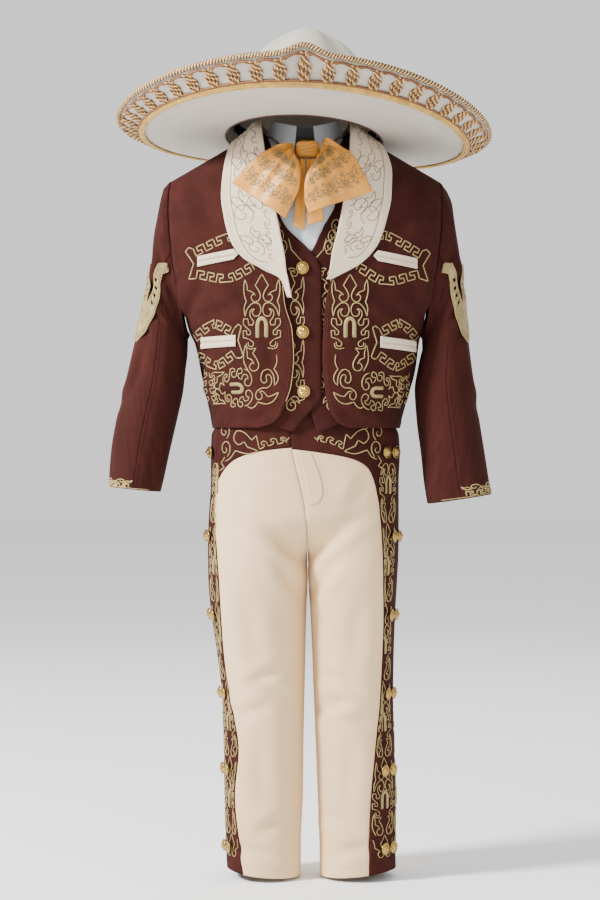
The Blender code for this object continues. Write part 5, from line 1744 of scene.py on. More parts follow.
def stud_pieces():
    for side, tag in SIDES:
        for number, height in enumerate(STUD_ROWS, start=1):
            across = 1 + stud_across(side, height, STUD_TURNS[side][number - 1])
            here = leg_point(side, across, height)
            normal = (leg(side, across, height, 1) - here).normalized()
            lift = 1.9 + max(trouser_rise(here), 0)
            for column in (-0.16, 0.16):
                beside = leg_point(side, across + column, height) - here
                lift = max(lift, 1.4 + beside.dot(normal))
            base = standing_on(here + normal * lift, normal)
            parts = []
            for x in (-STUD_APART, STUD_APART):
                parts.append(concho_form(base @ Matrix.Translation(Vector((x, 0, 0.2)) * MM)))
            for link in range(3):
                shift = Vector((4 * (link - 1), 0, 2 if link == 1 else 2.5))
                parts.append(link_form(base @ Matrix.Translation(shift * MM), link % 2))
            name = "studs_" + tag + "_" + str(number)
            own(mesh_object(name, parts, "gilt"), "gilt_metal", name)


# ---------------------------------------------------------------- sombrero
def crown_point(turn, step):
    base = brim(turn, 0.12, -(FELT_WALL + 1.4))
    size = read(CROWN, step, "radius")
    height = read(CROWN, step, "height")
    aside = (abs((turn + 180) % 360 - 180) - 40) / 20
    pinch = 1 - 0.2 * exp(-aside * aside) * ease((height - 50) / 90)
    x = HAT_MIDDLE + (base.x - HAT_MIDDLE) * size * pinch + HAT_ROLL * height
    y = base.y * size * pinch + read(CROWN, step, "back") + 0.072 * height
    z = blend(base.z, 5 + (base.z - 5) * size, min(step, 1)) + height
    return Vector((x, y, z))


def hat_pieces():
    around = [i / 260 for i in range(260)]
    stations = [0, 0.02, 0.1] + [0.1 + 4.86 * i / 38 for i in range(1, 39)] + [5]

    def brim_sheet(u, station):
        turn = crowded(u)
        wave = 0
        for high, middle in BRIM_WAVES:
            off = (turn - middle + 180) % 360 - 180
            wave += high * exp(-(off / 14) ** 2)
        return brim(turn, station, wave * ease(station / 2) * ease((3.4 - station) / 1))

    sew(
        "hat_brim", brim_sheet, around, stations, FELT_WALL, Vector((0, 0, 400)),
        "felt", ring=True,
    )

    def crown_sheet(u, step):
        if step > 7:
            top = crown_point(360 * u, 7)
            middle = (crown_point(0, 7) + crown_point(180, 7)) / 2 + Vector((0, 0, 1.2))
            return top.lerp(middle, (step - 7) * 0.96)
        return crown_point(360 * u, step)

    around = [i / 132 for i in range(132)]
    steps = [0, 0.04] + [7 * i / 40 for i in range(1, 41)] + [7.35, 7.7, 8]
    sew(
        "hat_crown", crown_sheet, around, steps, FELT_WALL, Vector((0, 0, 60)),
        "felt", ring=True,
    )

    def band_sheet(u, v):
        base = brim(360 * u, 0)
        point = Vector((HAT_MIDDLE + (base.x - HAT_MIDDLE) * 0.92 + 1, base.y * 0.92, base.z))
        point.z += blend(12, 29, v)
        point.y += 2 * v
        return point

    sew(
        "hat_sweatband", band_sheet, around, shares(17, 2.5), 1.5, Vector((0, 0, 20)),
        "band", ring=True,
    )


def twisted(centre, count, around, turns):
    """Strands twisted round a closed line: centre(share) gives its point, normal, side and radius."""
    lines = []
    for strand in range(count):
        line = []
        for i in range(around):
            share = i / around
            point, normal, side, radius = centre(share)
            a = 2 * pi * (turns * share + strand / count)
            line.append(point + side * radius * cos(a) + normal * radius * sin(a))
        lines.append(line)
    return lines


def near_peak(turn):
    """How much farther out the cords lie over the rim's raised front and back."""
    return 1.7 * exp(-(sin(radians(turn / 2)) / 0.09) ** 2)


# Half width of a post of the trellis, as a share of its widest, from its foot (0) to its top (1).
POST_SHAPE = (
    ("t", "wide"),
    ((0, 0.45), (0.18, 0.86), (0.38, 1), (0.58, 0.62), (0.7, 0.36), (0.82, 0.56), (1, 1.75)),
)


def post_rope(middle, rope, pitch):
    """Two strands twisted into one rope of a post. The four ropes of a post spread and meet again."""
    strands = ([], [])
    steps = 24
    for i in range(steps + 1):
        t = i / steps
        turn = middle + pitch * 0.16 * rope * read(POST_SHAPE, t, "wide")
        station = blend(POST_LOW - 0.1, POST_HIGH + 0.02, t)
        lift = 1.5 + near_peak(turn) + 0.5 * (abs(rope) < 1)
        here = brim(turn, station, lift)
        side = (brim_point(turn + 0.5, station) - brim_point(turn - 0.5, station)).normalized()
        out = side.cross(brim_point(turn, station + 0.02) - brim_point(turn, station)).normalized()
        for strand, line in enumerate(strands):
            a = 2 * pi * (4 * t + 0.5 * strand + 0.3 * rope)
            line.append(here + side * cos(a) + out * sin(a))
    return strands


def hat_cord_pieces():
    """The braid on the fold, the two-colour cord on the edge and the cord trellis on the rim."""

    def edge(share):
        turn = crowded(share)
        here = brim(turn, 5)
        out = (here - brim(turn, 4.8)).normalized()
        across = (brim(turn + 1, 5) - here).normalized()
        middle = brim(turn, 5, -FELT_WALL / 2) + out * (CORD_RADIUS + 0.6)
        return middle, out, across.cross(out), CORD_RADIUS * 0.5

    lines = twisted(edge, 4, 9 * CORD_TWISTS, CORD_TWISTS)
    for first, ending, finish in ((0, "", "dark_cord"), (1, "_light", "gold_cord")):
        cord = tube_mesh(lines[first::2], CORD_RADIUS * 0.56, 6, True)
        own(mesh_object("hat_edge_cord" + ending, [cord], finish), "gilt_cord", "hat_edge_cord")

    parts = []
    around = 900
    for row, (apart, lift) in enumerate(((-0.14, 1.6), (0, 2.3), (0.14, 1.6))):
        for strand in (0, 1):
            line = []
            for i in range(around):
                a = 2 * pi * (BRAID_TWISTS * i / around + 0.5 * strand + 0.25 * row)
                station = BRAID_STATION + apart + 0.045 * cos(a)
                line.append(brim(crowded(i / around), station, lift + 0.6 * sin(a)))
            parts.append(tube_mesh([line], 1.15, 5, True))
    own(mesh_object("hat_braid", parts, "braid"), "gilt_cord", "hat_braid")

    pitch = 360 / POSTS
    ropes = ([], [])
    for post in range(POSTS):
        middle = pitch * post
        for rope in (-1.5, -0.5, 0.5, 1.5):
            for strand, line in enumerate(post_rope(middle, rope, pitch)):
                ropes[strand].append(line)
    top = []
    low = []
    for i in range(720):
        turn = 0.5 * i
        scallop = abs(sin(pi * turn / pitch))
        top.append(brim(turn, POST_HIGH - 0.1 + 0.12 * scallop, 1.9 + near_peak(turn)))
        low.append(brim(turn, POST_LOW - 0.12, 1.5 + near_peak(turn)))
    strand = SET["cord_strand"]
    copper = [tube_mesh(ropes[0], strand, 5), tube_mesh([top, low], 1.6, 6, True)]
    own(mesh_object("hat_trellis", copper, "copper_cord"), "gilt_cord", "hat_trellis")
    light = mesh_object("hat_trellis_light", [tube_mesh(ropes[1], strand, 5)], "gold_cord")
    own(light, "gilt_cord", "hat_trellis")
    piping = tube_mesh([[brim(360 * i / 400, -0.02, 0.8) for i in range(400)]], 1.3, 6, True)
    own(mesh_object("hat_opening_piping", [piping], "dark_cord"), "gilt_cord")


# ---------------------------------------------------------------- embroidery charts
# A chart is a list of lines; a third number in a point marks a corner. Units are arbitrary.
LYRE = (
    (
        (0, 0.5), (6.6, -11, 1), (3, -16.5), (1.4, -22), (3.8, -26.6), (8.4, -27), (10.8, -23.2),
        (9, -20), (6.2, -20.8),
    ),
    ((17.2, -5), (15, -10.5), (14.6, -15.6, 1), (10.2, -17.4), (6.2, -20.8)),
    ((17.2, -5), (18.2, -13), (17.6, -20.5), (15.6, -27, 1), (17.8, -33.5), (17, -42)),
)
PAIR = (
    (
        (17, -42), (14.6, -34.5), (9, -28.8), (3.2, -29.4), (0.9, -35.4), (3, -41.2), (7.6, -41.6),
        (9.6, -37.4), (7, -34.4),
    ),
    (
        (7, -34.4), (10.6, -35.4), (12.2, -39.2), (10.8, -43.6), (8.2, -47.2), (9.4, -50.8, 1),
        (13.2, -50.4, 1), (14, -44.6, 1), (18.2, -44.2, 1), (18.6, -49.4), (15.2, -53.4), (11.4, -57),
        (12, -60.4, 1), (15.2, -60.2, 1), (15.4, -56.2, 1), (18.8, -56.4, 1), (18.6, -62.8, 1),
        (12.6, -64.8),
    ),
)
HOOK = (
    ((12.6, -64.8), (8.2, -68.6), (9.8, -72.2), (13.4, -71), (13.8, -67.4)),
    ((5.6, -73.6), (10.6, -74.6, 1), (14.8, -73.2), (15.8, -68.6)),
)
TULIP = (
    (
        (5.6, -73.6), (9.2, -78.6, 1), (5.2, -84.4), (3, -90.6), (5, -95.6), (9.8, -96.2),
        (12.4, -92.4), (10.2, -88.6), (7.6, -89.4),
    ),
    ((16.8, -70.6), (14.8, -77.4), (14.6, -83.4, 1), (10.6, -85), (7.6, -89.4)),
    ((16.8, -70.6), (18.4, -79), (18, -88), (13.4, -96.8)),
)
CURL = (
    (
        (14.4, -80.3), (15, -87), (13.7, -91.7), (12, -94.7, 1), (15, -99.1), (16.4, -103.7),
        (15.4, -107.8), (12.4, -111.4, 1), (12.4, -106.4), (11.7, -101.7), (9.4, -97.4), (5.7, -95),
        (1.3, -96.7), (-0.7, -101.1), (-0.7, -106.4), (2.3, -108.9), (4.7, -107.1), (4, -101.7),
        (5.7, -100.1), (8.4, -101.7), (9.7, -105.8), (8.7, -110.4), (5.3, -113.5), (0, -113.8),
        (-4.7, -116.5), (-6.7, -120.5), (-5.7, -124.2), (-2.7, -125.5), (0, -123.2), (-0.4, -119.5),
        (-2.7, -117.8),
    ),
    (
        (-2.7, -117.5), (0.7, -117.1), (5.7, -122.4, 1), (10.7, -121.2), (16.7, -118.1, 1),
        (14, -123.8), (10, -127.9), (4, -129.7), (-4, -127.9, 1), (-6.7, -131.9), (-10.7, -133.9),
        (-14.7, -131.9),
    ),
)
# The lower front corner, round the point of its horseshoe's closed end: x towards the free edge.
CORNER = (
    (
        (6.2, 9), (6.6, 11.4), (8.2, 14.1), (11.6, 13.1), (12.6, 9.4, 1), (10.6, 10), (9.2, 7.4),
        (9.2, 4), (12.3, 2.1), (14.9, 4), (16.3, 8), (15.3, 13.4), (12.3, 17.7), (8.2, 19.4),
    ),
    (
        (6.2, 9), (3.2, 10.7), (2.5, 14.7), (5.6, 15.1), (6.6, 17.4), (4.9, 20.4), (2.2, 19.4),
        (0.9, 15.4), (0.2, 12.1), (-1.8, 11.1), (-4.2, 13.4), (-3.8, 16.7), (-1.1, 17.1), (-1.1, 19.4),
        (-3.8, 20.4), (-5.8, 19.4), (-6.2, 15.4), (-6.5, 10), (-8.5, 6.6), (-10.9, 8), (-11.2, 10.7),
        (-9.2, 12.1), (-8.5, 14.4), (-10.5, 14.7), (-12.5, 12.1), (-12.9, 8), (-11.2, 3.3, 1),
        (-15.2, 6), (-16.5, 1.3), (-19.6, 0), (-21.9, 2.7), (-23.6, 7.4), (-21.9, 11.4),
    ),
    (
        (-21.9, 11.4), (-20.6, 5.4), (-18.6, 7.4), (-18.9, 12.1), (-15.2, 13.4), (-11.9, 17.1, 1),
        (-16.2, 16.4), (-22.6, 16.7), (-25.3, 14.1),
    ),
)
# One wave scroll of a running band: two opposed spirals on a common stem, in a square of side 1.
WAVE = (
    (0, 0), (0.08, 0.42), (0.34, 0.7), (0.62, 0.62), (0.7, 0.38), (0.54, 0.24), (0.42, 0.36),
    (0.5, 0.46),
)
# A step hook: the square cousin of the wave.
STEP = (
    (0, 0), (0.04, 0.62), (0.3, 0.92, 1), (0.62, 0.8, 1), (0.58, 0.48, 1), (0.34, 0.46), (0.4, 0.16),
    (0.74, 0.02), (1, 0),
)
SPIRAL = (
    (0, 0), (-0.3, 0.34), (-0.28, 0.8), (0.12, 1.02), (0.52, 0.8), (0.54, 0.4), (0.22, 0.26),
    (0.02, 0.48), (0.2, 0.62),
)
FLAME = (
    (0, 0), (0.3, 0.1), (0.52, 0.34, 1), (0.66, 0.14, 1), (1, 0.42, 1), (0.84, -0.04), (0.44, -0.24),
    (0, 0),
)
LEAF = ((0, 0), (0.18, 0.3), (0.5, 0.36), (0.78, 0.2), (1, 0, 1), (0.74, -0.1), (0.4, -0.06), (0, 0))
SPROUT = (
    (0, 0), (0.35, -0.15), (0.75, 0), (1, 0.35, 1), (0.7, 0.3), (0.45, 0.1), (0.3, 0.5, 1), (0.2, 0.2),
    (0, 0),
)
BIRD = (
    (0, 0), (0.1, 0.34), (0.4, 0.44), (0.46, 0.26, 1), (0.62, 0.62, 1), (1, 0.58, 1), (0.78, 0.26),
    (0.86, -0.02, 1), (0.52, 0.02), (0.3, -0.16), (0, 0),
)

UNIT = 1.3                 # millimetres for one unit of the column charts
COLUMN_TOP = -176
COLUMNS = {-1: -56.4, 1: 58.6}
SHOE_DROP = 53.5           # chart units from a column's top to the middle of its small horseshoe
# Degrees in front of the outseam where the middle of each side strip's scrolls lies.
STRIP_AXIS = (("z", "l", "r"), ((-980, 36, 48), (-730, 35, 47), (-408, 34, 45)))
CLUSTERS = {-1: (-90.5, -324), 1: (95.5, -329)}

# Frames round the pockets: the upper line and the lower line of keys, each from its inner end to its
# outer end through its middle, then the corners of the tail that joins them.
FRAMES = (
    (
        "upper_l",
        ((-66, -127.5), (-100, -121), (-147, -140.5)), ((-66, -170), (-100, -186), (-143, -179.5)),
        ((-147, -140.5), (-153, -138.6), (-157.4, -143.6), (-146.4, -160), (-152, -179.8), (-143, -179.5)),
    ),
    (
        "upper_r",
        ((70, -129), (106, -118.6), (154, -143)), ((66, -170), (104, -189.5), (150, -179)),
        ((154, -143), (160, -140.6), (165, -145.6), (155, -162), (161, -182), (150, -179)),
    ),
    (
        "lower_l",
        ((-93, -246), (-121, -234), (-149, -251)), ((-91, -284), (-117, -298.5), (-147, -284)),
        (
            (-93, -246), (-87.6, -240.6), (-83.4, -243), (-87.8, -261), (-80.8, -281.6),
            (-85, -284.4), (-91, -284),
        ),
    ),
    (
        "lower_r",
        ((97, -246), (126, -232.5), (152, -252)), ((94, -285), (121, -300.5), (149, -285)),
        ((97, -246), (92, -242.6), (88, -244.6), (94, -264), (86.4, -282.4), (90, -285.6), (94, -285)),
    ),
)


def chart(threads, lines, x, y, across=1, up=None, turn=0):
    for line in lines:
        threads.run(drawn(moved(line, x, y, across, up, turn)))


def band_of(threads, spine, motifs, length, high):
    """A band along a spine: the motifs in turn, each about `length` long and `high` tall."""
    whole = spine.far[-1]
    count = max(1, round(whole / length))
    for k in range(count):
        path = moved(motifs[k % len(motifs)], k * whole / count, 0, whole / count, high)
        threads.run(drawn(spine.lay(path)))


def front_scrolls(threads, side, tag):
    """Embroidery of one jacket front: column, pocket frames and the corner cluster."""
    axis = COLUMNS[side]
    for half in (-1, 1):
        for lines in (LYRE, PAIR, HOOK):
            chart(threads, lines, axis, COLUMN_TOP, half * UNIT, UNIT)
    chart(threads, TULIP, axis, COLUMN_TOP, side * UNIT, UNIT)
    chart(threads, CURL, axis, COLUMN_TOP, -side * UNIT, UNIT)
    for name, upper, lower, tail in FRAMES:
        if name[-1] != tag:
            continue
        for line, turned in ((upper, side > 0), (lower, side < 0)):
            spine = Spine(line)
            count = round(spine.far[-1] / 14)
            threads.run(drawn(spine.lay(keys(spine.far[-1], count, 10.5, turned))), 1.2)
        threads.run(drawn([(*point, 1) for point in tail]), 1.2)
    middle_x, middle_z = CLUSTERS[side]
    for up in (UNIT, -0.92 * UNIT):
        chart(threads, CORNER, middle_x, middle_z, -side * UNIT, up)
    for out, low, high in ((34, -20, 22), (45, -16, 26)):
        foot = (middle_x + side * out, middle_z + low)
        line = Spine((foot, (middle_x + side * (out + 1), middle_z + high)))
        band_of(threads, line, (STEP,), 10.5, side * 8)


def satin_shoe(at, x, y, wide, high, turn):
    """A small padded horseshoe as a grid on the surface: a U of satin stitch, open end down."""
    cosine = cos(radians(turn))
    sine = sin(radians(turn))
    points = []
    faces = []
    chart_points = []
    steps = 26
    for i in range(steps + 1):
        t = i / steps
        if t < 0.3:
            spine = Vector((-wide / 2, blend(-high / 2, high * 0.12, t / 0.3)))
            out = Vector((-1, 0))
        elif t > 0.7:
            spine = Vector((wide / 2, blend(high * 0.12, -high / 2, (t - 0.7) / 0.3)))
            out = Vector((1, 0))
        else:
            a = pi * (1 - (t - 0.3) / 0.4)
            out = Vector((cos(a), sin(a)))
            spine = Vector((out.x * wide / 2, high * 0.12 + out.y * high * 0.38))
        half = wide * 0.25 * (1 if 0 < i < steps else 0.8)
        for k in range(7):
            part = k / 3 - 1
            local = spine + out * half * part
            lift = 1.7 * sqrt(max(1 - abs(part) ** 2.6, 0)) - 0.1
            if i in (0, steps):
                lift *= 0.25
            a = x + local.x * cosine - local.y * sine
            point, normal = at(a, y + local.x * sine + local.y * cosine)
            points.append((point + normal * lift) * MM)
    for i in range(steps):
        for k in range(6):
            a = 7 * i + k
            faces.append((a, a + 1, a + 8, a + 7))
            low = 1.4 * i
            chart_points.extend(((k, low), (k + 1, low), (k + 1, low + 1.4), (k, low + 1.4)))
    for row in (0, steps):
        faces.append(tuple(7 * row + k for k in range(7)))
        chart_points.extend([(k, 0) for k in range(7)])
    for i in range(steps):
        a = 7 * i
        faces.append((a, a + 7, a + 13, a + 6))
        chart_points.extend([(0, 0)] * 4)
    return points, faces, chart_points


def jacket_scrolls():
    shoes = []
    for side, tag in SIDES:
        threads = Threads(front_cloth)
        front_scrolls(threads, side, tag)
        threads.finish("jacket_scrolls_" + tag, "gold_thread", "gilt_applique")
        shoes.append(satin_shoe(front_cloth, COLUMNS[side], COLUMN_TOP - SHOE_DROP * UNIT, 11.5, 25, 0))
        shoes.append(satin_shoe(front_cloth, *CLUSTERS[side], 11, 15.5, side * 90))
    back = Threads(back_cloth)
    for half in (-1, 1):
        for lines in (LYRE, PAIR, HOOK, TULIP):
            chart(back, lines, 0, -150, half * 1.7, 1.5)
        chart(back, (SPIRAL,), half * 60, -330, half * 26, 26)
        chart(back, (BIRD,), half * 86, -334, half * 34, 26)
        chart(back, (FLAME,), half * 42, -324, -half * 30, 22)
        yoke = Spine(((half * 26, -62), (half * 80, -78), (half * 142, -112)))
        band_of(back, yoke, (STEP, WAVE), 18, 12 * half)
    back.finish("jacket_scrolls_back", "gold_thread", "gilt_applique")
    shoes.append(satin_shoe(back_cloth, 0, -150 - SHOE_DROP * 1.5, 14, 30, 0))
    own(mesh_object("jacket_satin_horseshoes", shoes, "applique"), "gilt_applique")


def cuff_scrolls():
    """A line of scrolls and keys round the outer side of each cuff."""
    for side, tag in SIDES:

        def place(a, b, side=side):
            ring = 12 - b / DOWN
            angle = degrees(a / 41)
            return sleeve_face(side, angle, ring)

        threads = Threads(on_cloth(place, None, -side), 1.1, 0.95)
        base = Spine(((-62, 6), (0, 9), (58, 6)))
        threads.run(drawn(base.lay(keys(base.far[-1], 8, 9))), 1.2)
        for half in (-1, 1):
            for x, high in ((4, 13), (30, 11)):
                chart(threads, (SPIRAL,), half * (x + 12), 19, half * 15, high)
                chart(threads, (FLAME,), half * (x + 18), 22, half * 15, 11)
        threads.run([(-90 + 4 * k, 3.5) for k in range(46)], 0.65, 0.65)
        threads.finish("cuff_scrolls_" + tag, "gold_thread", "gilt_applique")


# Scrolls up the collar: station, size and lean in degrees. Then the line inside its outer edge and the
# line of its running band.
COLLAR_SPOTS = ((3.3, 21, 8), (4.9, 24, -6), (6.5, 24, 10), (8, 20, -8), (9.3, 15, 5), (10.2, 14, 0))
COLLAR_EDGE = ((30, 78), (46, 84), (50, 120), (50.5, 180), (49.5, 240), (48, 300), (47, 326))
COLLAR_BAND = ((19, 84), (11, 130), (9, 200), (9, 262))


def collar_scrolls():
    """Fine outline scrolls on the collar, set in from its outer edge, and rows of edge stitching."""
    for side, tag in SIDES:
        at = on_collar(side)
        threads = Threads(at, 0.75, 0.6)
        for station, big, turn in COLLAR_SPOTS:
            y = station * STATION
            chart(threads, (SPIRAL,), 34, y - 8, big, big, turn)
            chart(threads, (SPIRAL,), 25, y + 6, -big * 0.8, big * 0.8, turn)
            chart(threads, (FLAME,), 22, y + 14, big * 1.1, big * 0.8, 40 + turn)
            chart(threads, (LEAF,), 40, y + 8, big * 0.9, big, 62)
        threads.run(Spine(COLLAR_EDGE).line)
        band_of(threads, Spine(COLLAR_BAND), (WAVE, STEP), 17, -7.5)
        threads.finish("collar_scrolls_" + tag, "olive_thread", "gilt_applique")
        seams = Threads(at, 0.47, 0.34)
        for share in (0.955, 0.925, 0.895):
            stitches(seams, [(COLLAR_WIDE * share, 3 + 324 * i / 150) for i in range(151)])
        seams.finish("collar_stitches_" + tag, "cream_stitch", "cream_suede")


def stitches(threads, line, share=1):
    """A row of short stitches along a line of chart points."""
    length = SET["stitch_length"] * share
    gap = SET["stitch_gap"] * share
    spots = [threads.at(p[0], p[1]) for p in line]
    far = [0]
    for a, b in zip(spots, spots[1:]):
        far.append(far[-1] + (b[0] - a[0]).length)
    s = 0.4
    while s + length < far[-1]:
        ends = []
        for at in (s, s + length / 2, s + length):
            i = min(max(bisect.bisect_right(far, at) - 1, 0), len(spots) - 2)
            t = (at - far[i]) / max(far[i + 1] - far[i], 0.001)
            point, normal = (spots[i][n].lerp(spots[i + 1][n], t) for n in (0, 1))
            ends.append((point, normal.normalized()))
        threads.ribbon(ends)
        s += length + gap


def vest_scrolls():
    """Half columns down the waistcoat's free edges, and hooks up the edges of its neck."""
    for side, tag, sink, axis in ((-1, "l", 0, -20), (1, "r", -2.1, 36.5)):
        threads = Threads(on_cloth(lambda x, z, sink=sink: on_front(VEST, x, z, sink)), 1, 0.85)
        for top in (-172, -254) if side < 0 else (-160, -242):
            for lines in (LYRE, PAIR):
                chart(threads, lines, axis, top, -side * 1.02, 1.34)
        for k in range(3):
            x = side * (24.5 + 4.6 * k) + (2.5 if side > 0 else -0.5)
            z = -144 + 14 * k
            chart(threads, (SPIRAL, FLAME), x, z, side * 10, 14.5, -side * 20)
        hook = ((7, -159, 1), (21, -143, 1), (25, -128))
        threads.run(drawn([(side * x + 3, *rest) for x, *rest in hook]))
        chart(threads, (SPIRAL, LEAF), side * 16 + 3, -168, side * 9, -10)
        chart(threads, (FLAME, SPIRAL), axis, -338, -side * 13, -15)
        threads.finish("waistcoat_scrolls_" + tag, "gold_thread", "gilt_applique")


# Rows of flowers up a wing: how far out, the first and last height, and their size.
WING_ROWS = ((92, 5, 70, 13), (66, 8, 68, 12), (42, 16, 62, 10))


def bow_scrolls():
    """Fine flower scrolls on the wings, inside a plain hem."""
    for side, tag in SIDES:
        at = on_cloth(lambda a, b, side=side: wing_point(side, a / 115, b / 75), None, side)
        threads = Threads(at, 0.68, 0.47)
        for reach, first, last, size in WING_ROWS:
            count = round((last - first) / size)
            for k in range(count):
                hand = 1 if k % 2 else -1
                b = blend(first, last, (k + 0.5) / count)
                for line in (SPIRAL, SPROUT):
                    for wide, tall, turn in ((0.95, 0.8, 12 * hand), (0.7, -0.7, 30)):
                        path = moved(line, reach, b, hand * size * wide, size * tall, turn)
                        threads.run(drawn(path, 1.3))
                petals = []
                for step in range(16):
                    angle = 2 * pi * step / 15
                    r = size * 0.2 * (0.62 + 0.38 * cos(5 * angle))
                    a = reach - hand * size * 0.6 + r * cos(angle)
                    petals.append((a, b + r * sin(angle)))
                threads.run(drawn(petals, 1.4))
        threads.finish("bow_scrolls_" + tag, "olive_thread", "gilt_applique")
        hems = Threads(at, 0.36, 0.27)
        stitches(hems, [(104, 2 + 71 * i / 60) for i in range(61)], 0.75)
        hems.finish("bow_hem_stitches_" + tag, "cream_stitch", "peach_satin")


def on_leg(x, z, side):
    """The point of a trouser leg's front that has this x and height."""
    low = 0
    high = 1.55
    for _ in range(13):
        middle = (low + high) / 2
        if side * (leg_point(side, middle, z).x - x) < 0:
            low = middle
        else:
            high = middle
    return leg_point(side, (low + high) / 2, z)


# Embroidery of the front yokes, in order: plain lines, a band with its height, and single scrolls.
YOKE_SCROLLS = {
    -1: (
        ("line", (-20, -388), (-26, -394, 1), (-32, -388)),
        ("band", (-24, -396), (-42, -398), (-60, -404), -9),
        (
            "line", (-60, -404), (-64, -386, 1), (-70, -392, 1), (-80, -382), (-90, -380), (-94, -390),
            (-88, -398), (-80, -394),
        ),
        ("line", (-62, -406, 1), (-76, -401, 1), (-80, -394, 1)),
        ("line", (-62, -407), (-76, -410), (-92, -406, 1), (-99, -416), (-106, -420)),
        ("spiral", -103, -414, -12, 20),
        ("line", (-106, -414, 1), (-111, -422, 1), (-107, -428, 1), (-114, -433, 1)),
        ("spiral", -104, -390, -12, 18),
    ),
    1: (
        ("line", (12, -388), (16, -392, 1), (22, -387)),
        ("band", (16, -394), (32, -396), (50, -404), 9),
        (
            "line", (50, -404), (54, -384, 1), (60, -390, 1), (70, -380), (80, -378), (84, -388),
            (78, -396), (70, -392),
        ),
        ("line", (52, -406, 1), (66, -400, 1), (70, -392, 1)),
        ("line", (52, -407), (66, -410), (82, -405, 1), (88, -414), (95, -417)),
        ("spiral", 92, -414, 13, 20),
        ("line", (96, -412, 1), (101, -420, 1), (97, -426, 1), (104, -430, 1), (101, -438, 1)),
        ("spiral", 94, -392, 13, 20), ("flame", 76, -378, 12, 14, 50),
    ),
}


def trouser_scrolls():
    shoes = []
    for side, tag, front in ((-1, "l", True), (1, "r", True), (-1, "l", False), (1, "r", False)):
        wide = {}

        def strip(a, b, side=side, wide=wide, tag=tag, front=front):
            row = floor(b / 20)
            for key in (row, row + 1):
                if key not in wide:
                    wide[key] = strip_wide(side, key * 20)
            width = blend(wide[row], wide[row + 1], b / 20 - row)
            middle = stud_across(side, b, read(STRIP_AXIS, b, tag))
            if a < 0:
                a *= min(1, (middle * width - 2.5) / 21)
            across = middle + a / width
            return leg_point(side, 1 + across if front else 2 - across, b)

        threads = Threads(on_cloth(strip, trouser_rise, side if front else -side), 1, 0.9)
        heights = (*STUD_ROWS, -1040)
        for top, low in zip(heights, heights[1:]):
            up = (top - low) / 97
            for half in (-1, 1):
                for line in (*LYRE, *PAIR, *HOOK, *TULIP):
                    path = moved(line, 0, top + 18, half * 1.15, up)
                    highs = [point[1] for point in path]
                    if max(highs) <= STUD_ROWS[0] + 6 and min(highs) >= HEM + HEM_RISE + 4:
                        threads.run(drawn(path), 0.78)
            if top - 52 * up > HEM:
                shoes.append(satin_shoe(threads.at, 0, top + 18 - SHOE_DROP * up, 10.5, 23, 0))
        ending = tag if front else tag + "_rear"
        threads.finish("strip_scrolls_" + ending, "gold_thread", "gilt_applique")

    for side, tag in SIDES:
        at = on_cloth(lambda x, z, side=side: on_leg(x, z, side), trouser_rise)
        threads = Threads(at)
        for kind, *rest in YOKE_SCROLLS[side]:
            if kind == "line":
                threads.run(drawn(rest))
            elif kind == "band":
                *spine, high = rest
                band_of(threads, Spine(spine), (STEP,), 12, high)
            else:
                chart(threads, (SPIRAL if kind == "spiral" else FLAME,), *rest)
        threads.finish("yoke_scrolls_" + tag, "gold_thread", "gilt_applique")
    own(mesh_object("strip_satin_horseshoes", shoes, "applique"), "gilt_applique")


# ---------------------------------------------------------------- seams, stitches and edges
def seam_pieces():
    """Topstitching down the fronts and round the armholes, the facing on the jacket's free edge and the
    trousers' stitches.
    """
    brown = Threads(front_cloth, 0.44, 0.32)
    pale = Threads(front_cloth, 0.53, 0.53)
    for side in (-1, 1):
        edge = []
        for i in range(121):
            level = blend(-372, -180 if side < 0 else -176, i / 120)
            edge.append((free_edge(side, level) + side * 5, level))
        stitches(brown, edge)
        seam = []
        for i in range(60):
            level = blend(-245, 4, i / 59)
            x = armhole_x(level)
            ramp = ease((level - ARMPIT) / (SHOULDER_TOP - ARMPIT))
            seam.append((side * (x - 4), level - SHOULDER_SLOPE * (x - NECK_HALF) * ramp))
        stitches(brown, seam)
    levels = [blend(-342, -190, i / 70) for i in range(71)]
    pale.run([(free_edge(-1, level) - 0.6, level) for level in levels])
    brown.finish("jacket_topstitches", "brown_stitch", "brown_suede")
    pale.finish("jacket_facing_edge", "cream_cord", "cream_suede")
    for side, tag in SIDES:
        face = leg_face(side)
        at = on_cloth(face, None, side, 0.01, 0.8)
        white = Threads(at, 0.42, 0.3)
        for panel in (0, 2):
            over = [panel + 0.03 + 0.94 * i / 60 for i in range(61)]
            stitches(white, [(across, hem(across) + 13) for across in over])
        top = read(YOKE, 0.965, "edge_" + tag) - 6
        stitches(white, [(0.965, blend(hem(1) + 16, top, i / 150)) for i in range(151)])
        over = [0.03 + 0.93 * i / 60 for i in range(61)]
        stitches(white, [(across, read(YOKE, across, "edge_" + tag) - 3) for across in over])
        white.finish("trouser_stitches_" + tag, "cream_stitch", "cream_cloth")
    right = leg_face(1)
    fly = Threads(on_cloth(right, None, 1, 0.01, 0.8), 0.47, 0.37)
    line = [(read(FLY, -474 + 2 * i, "edge") + 0.045, -476.5 + 2.1 * i) for i in range(32)]
    stitches(fly, line, 0.8)
    fly.finish("fly_stitches", "cream_stitch", "cream_cloth")


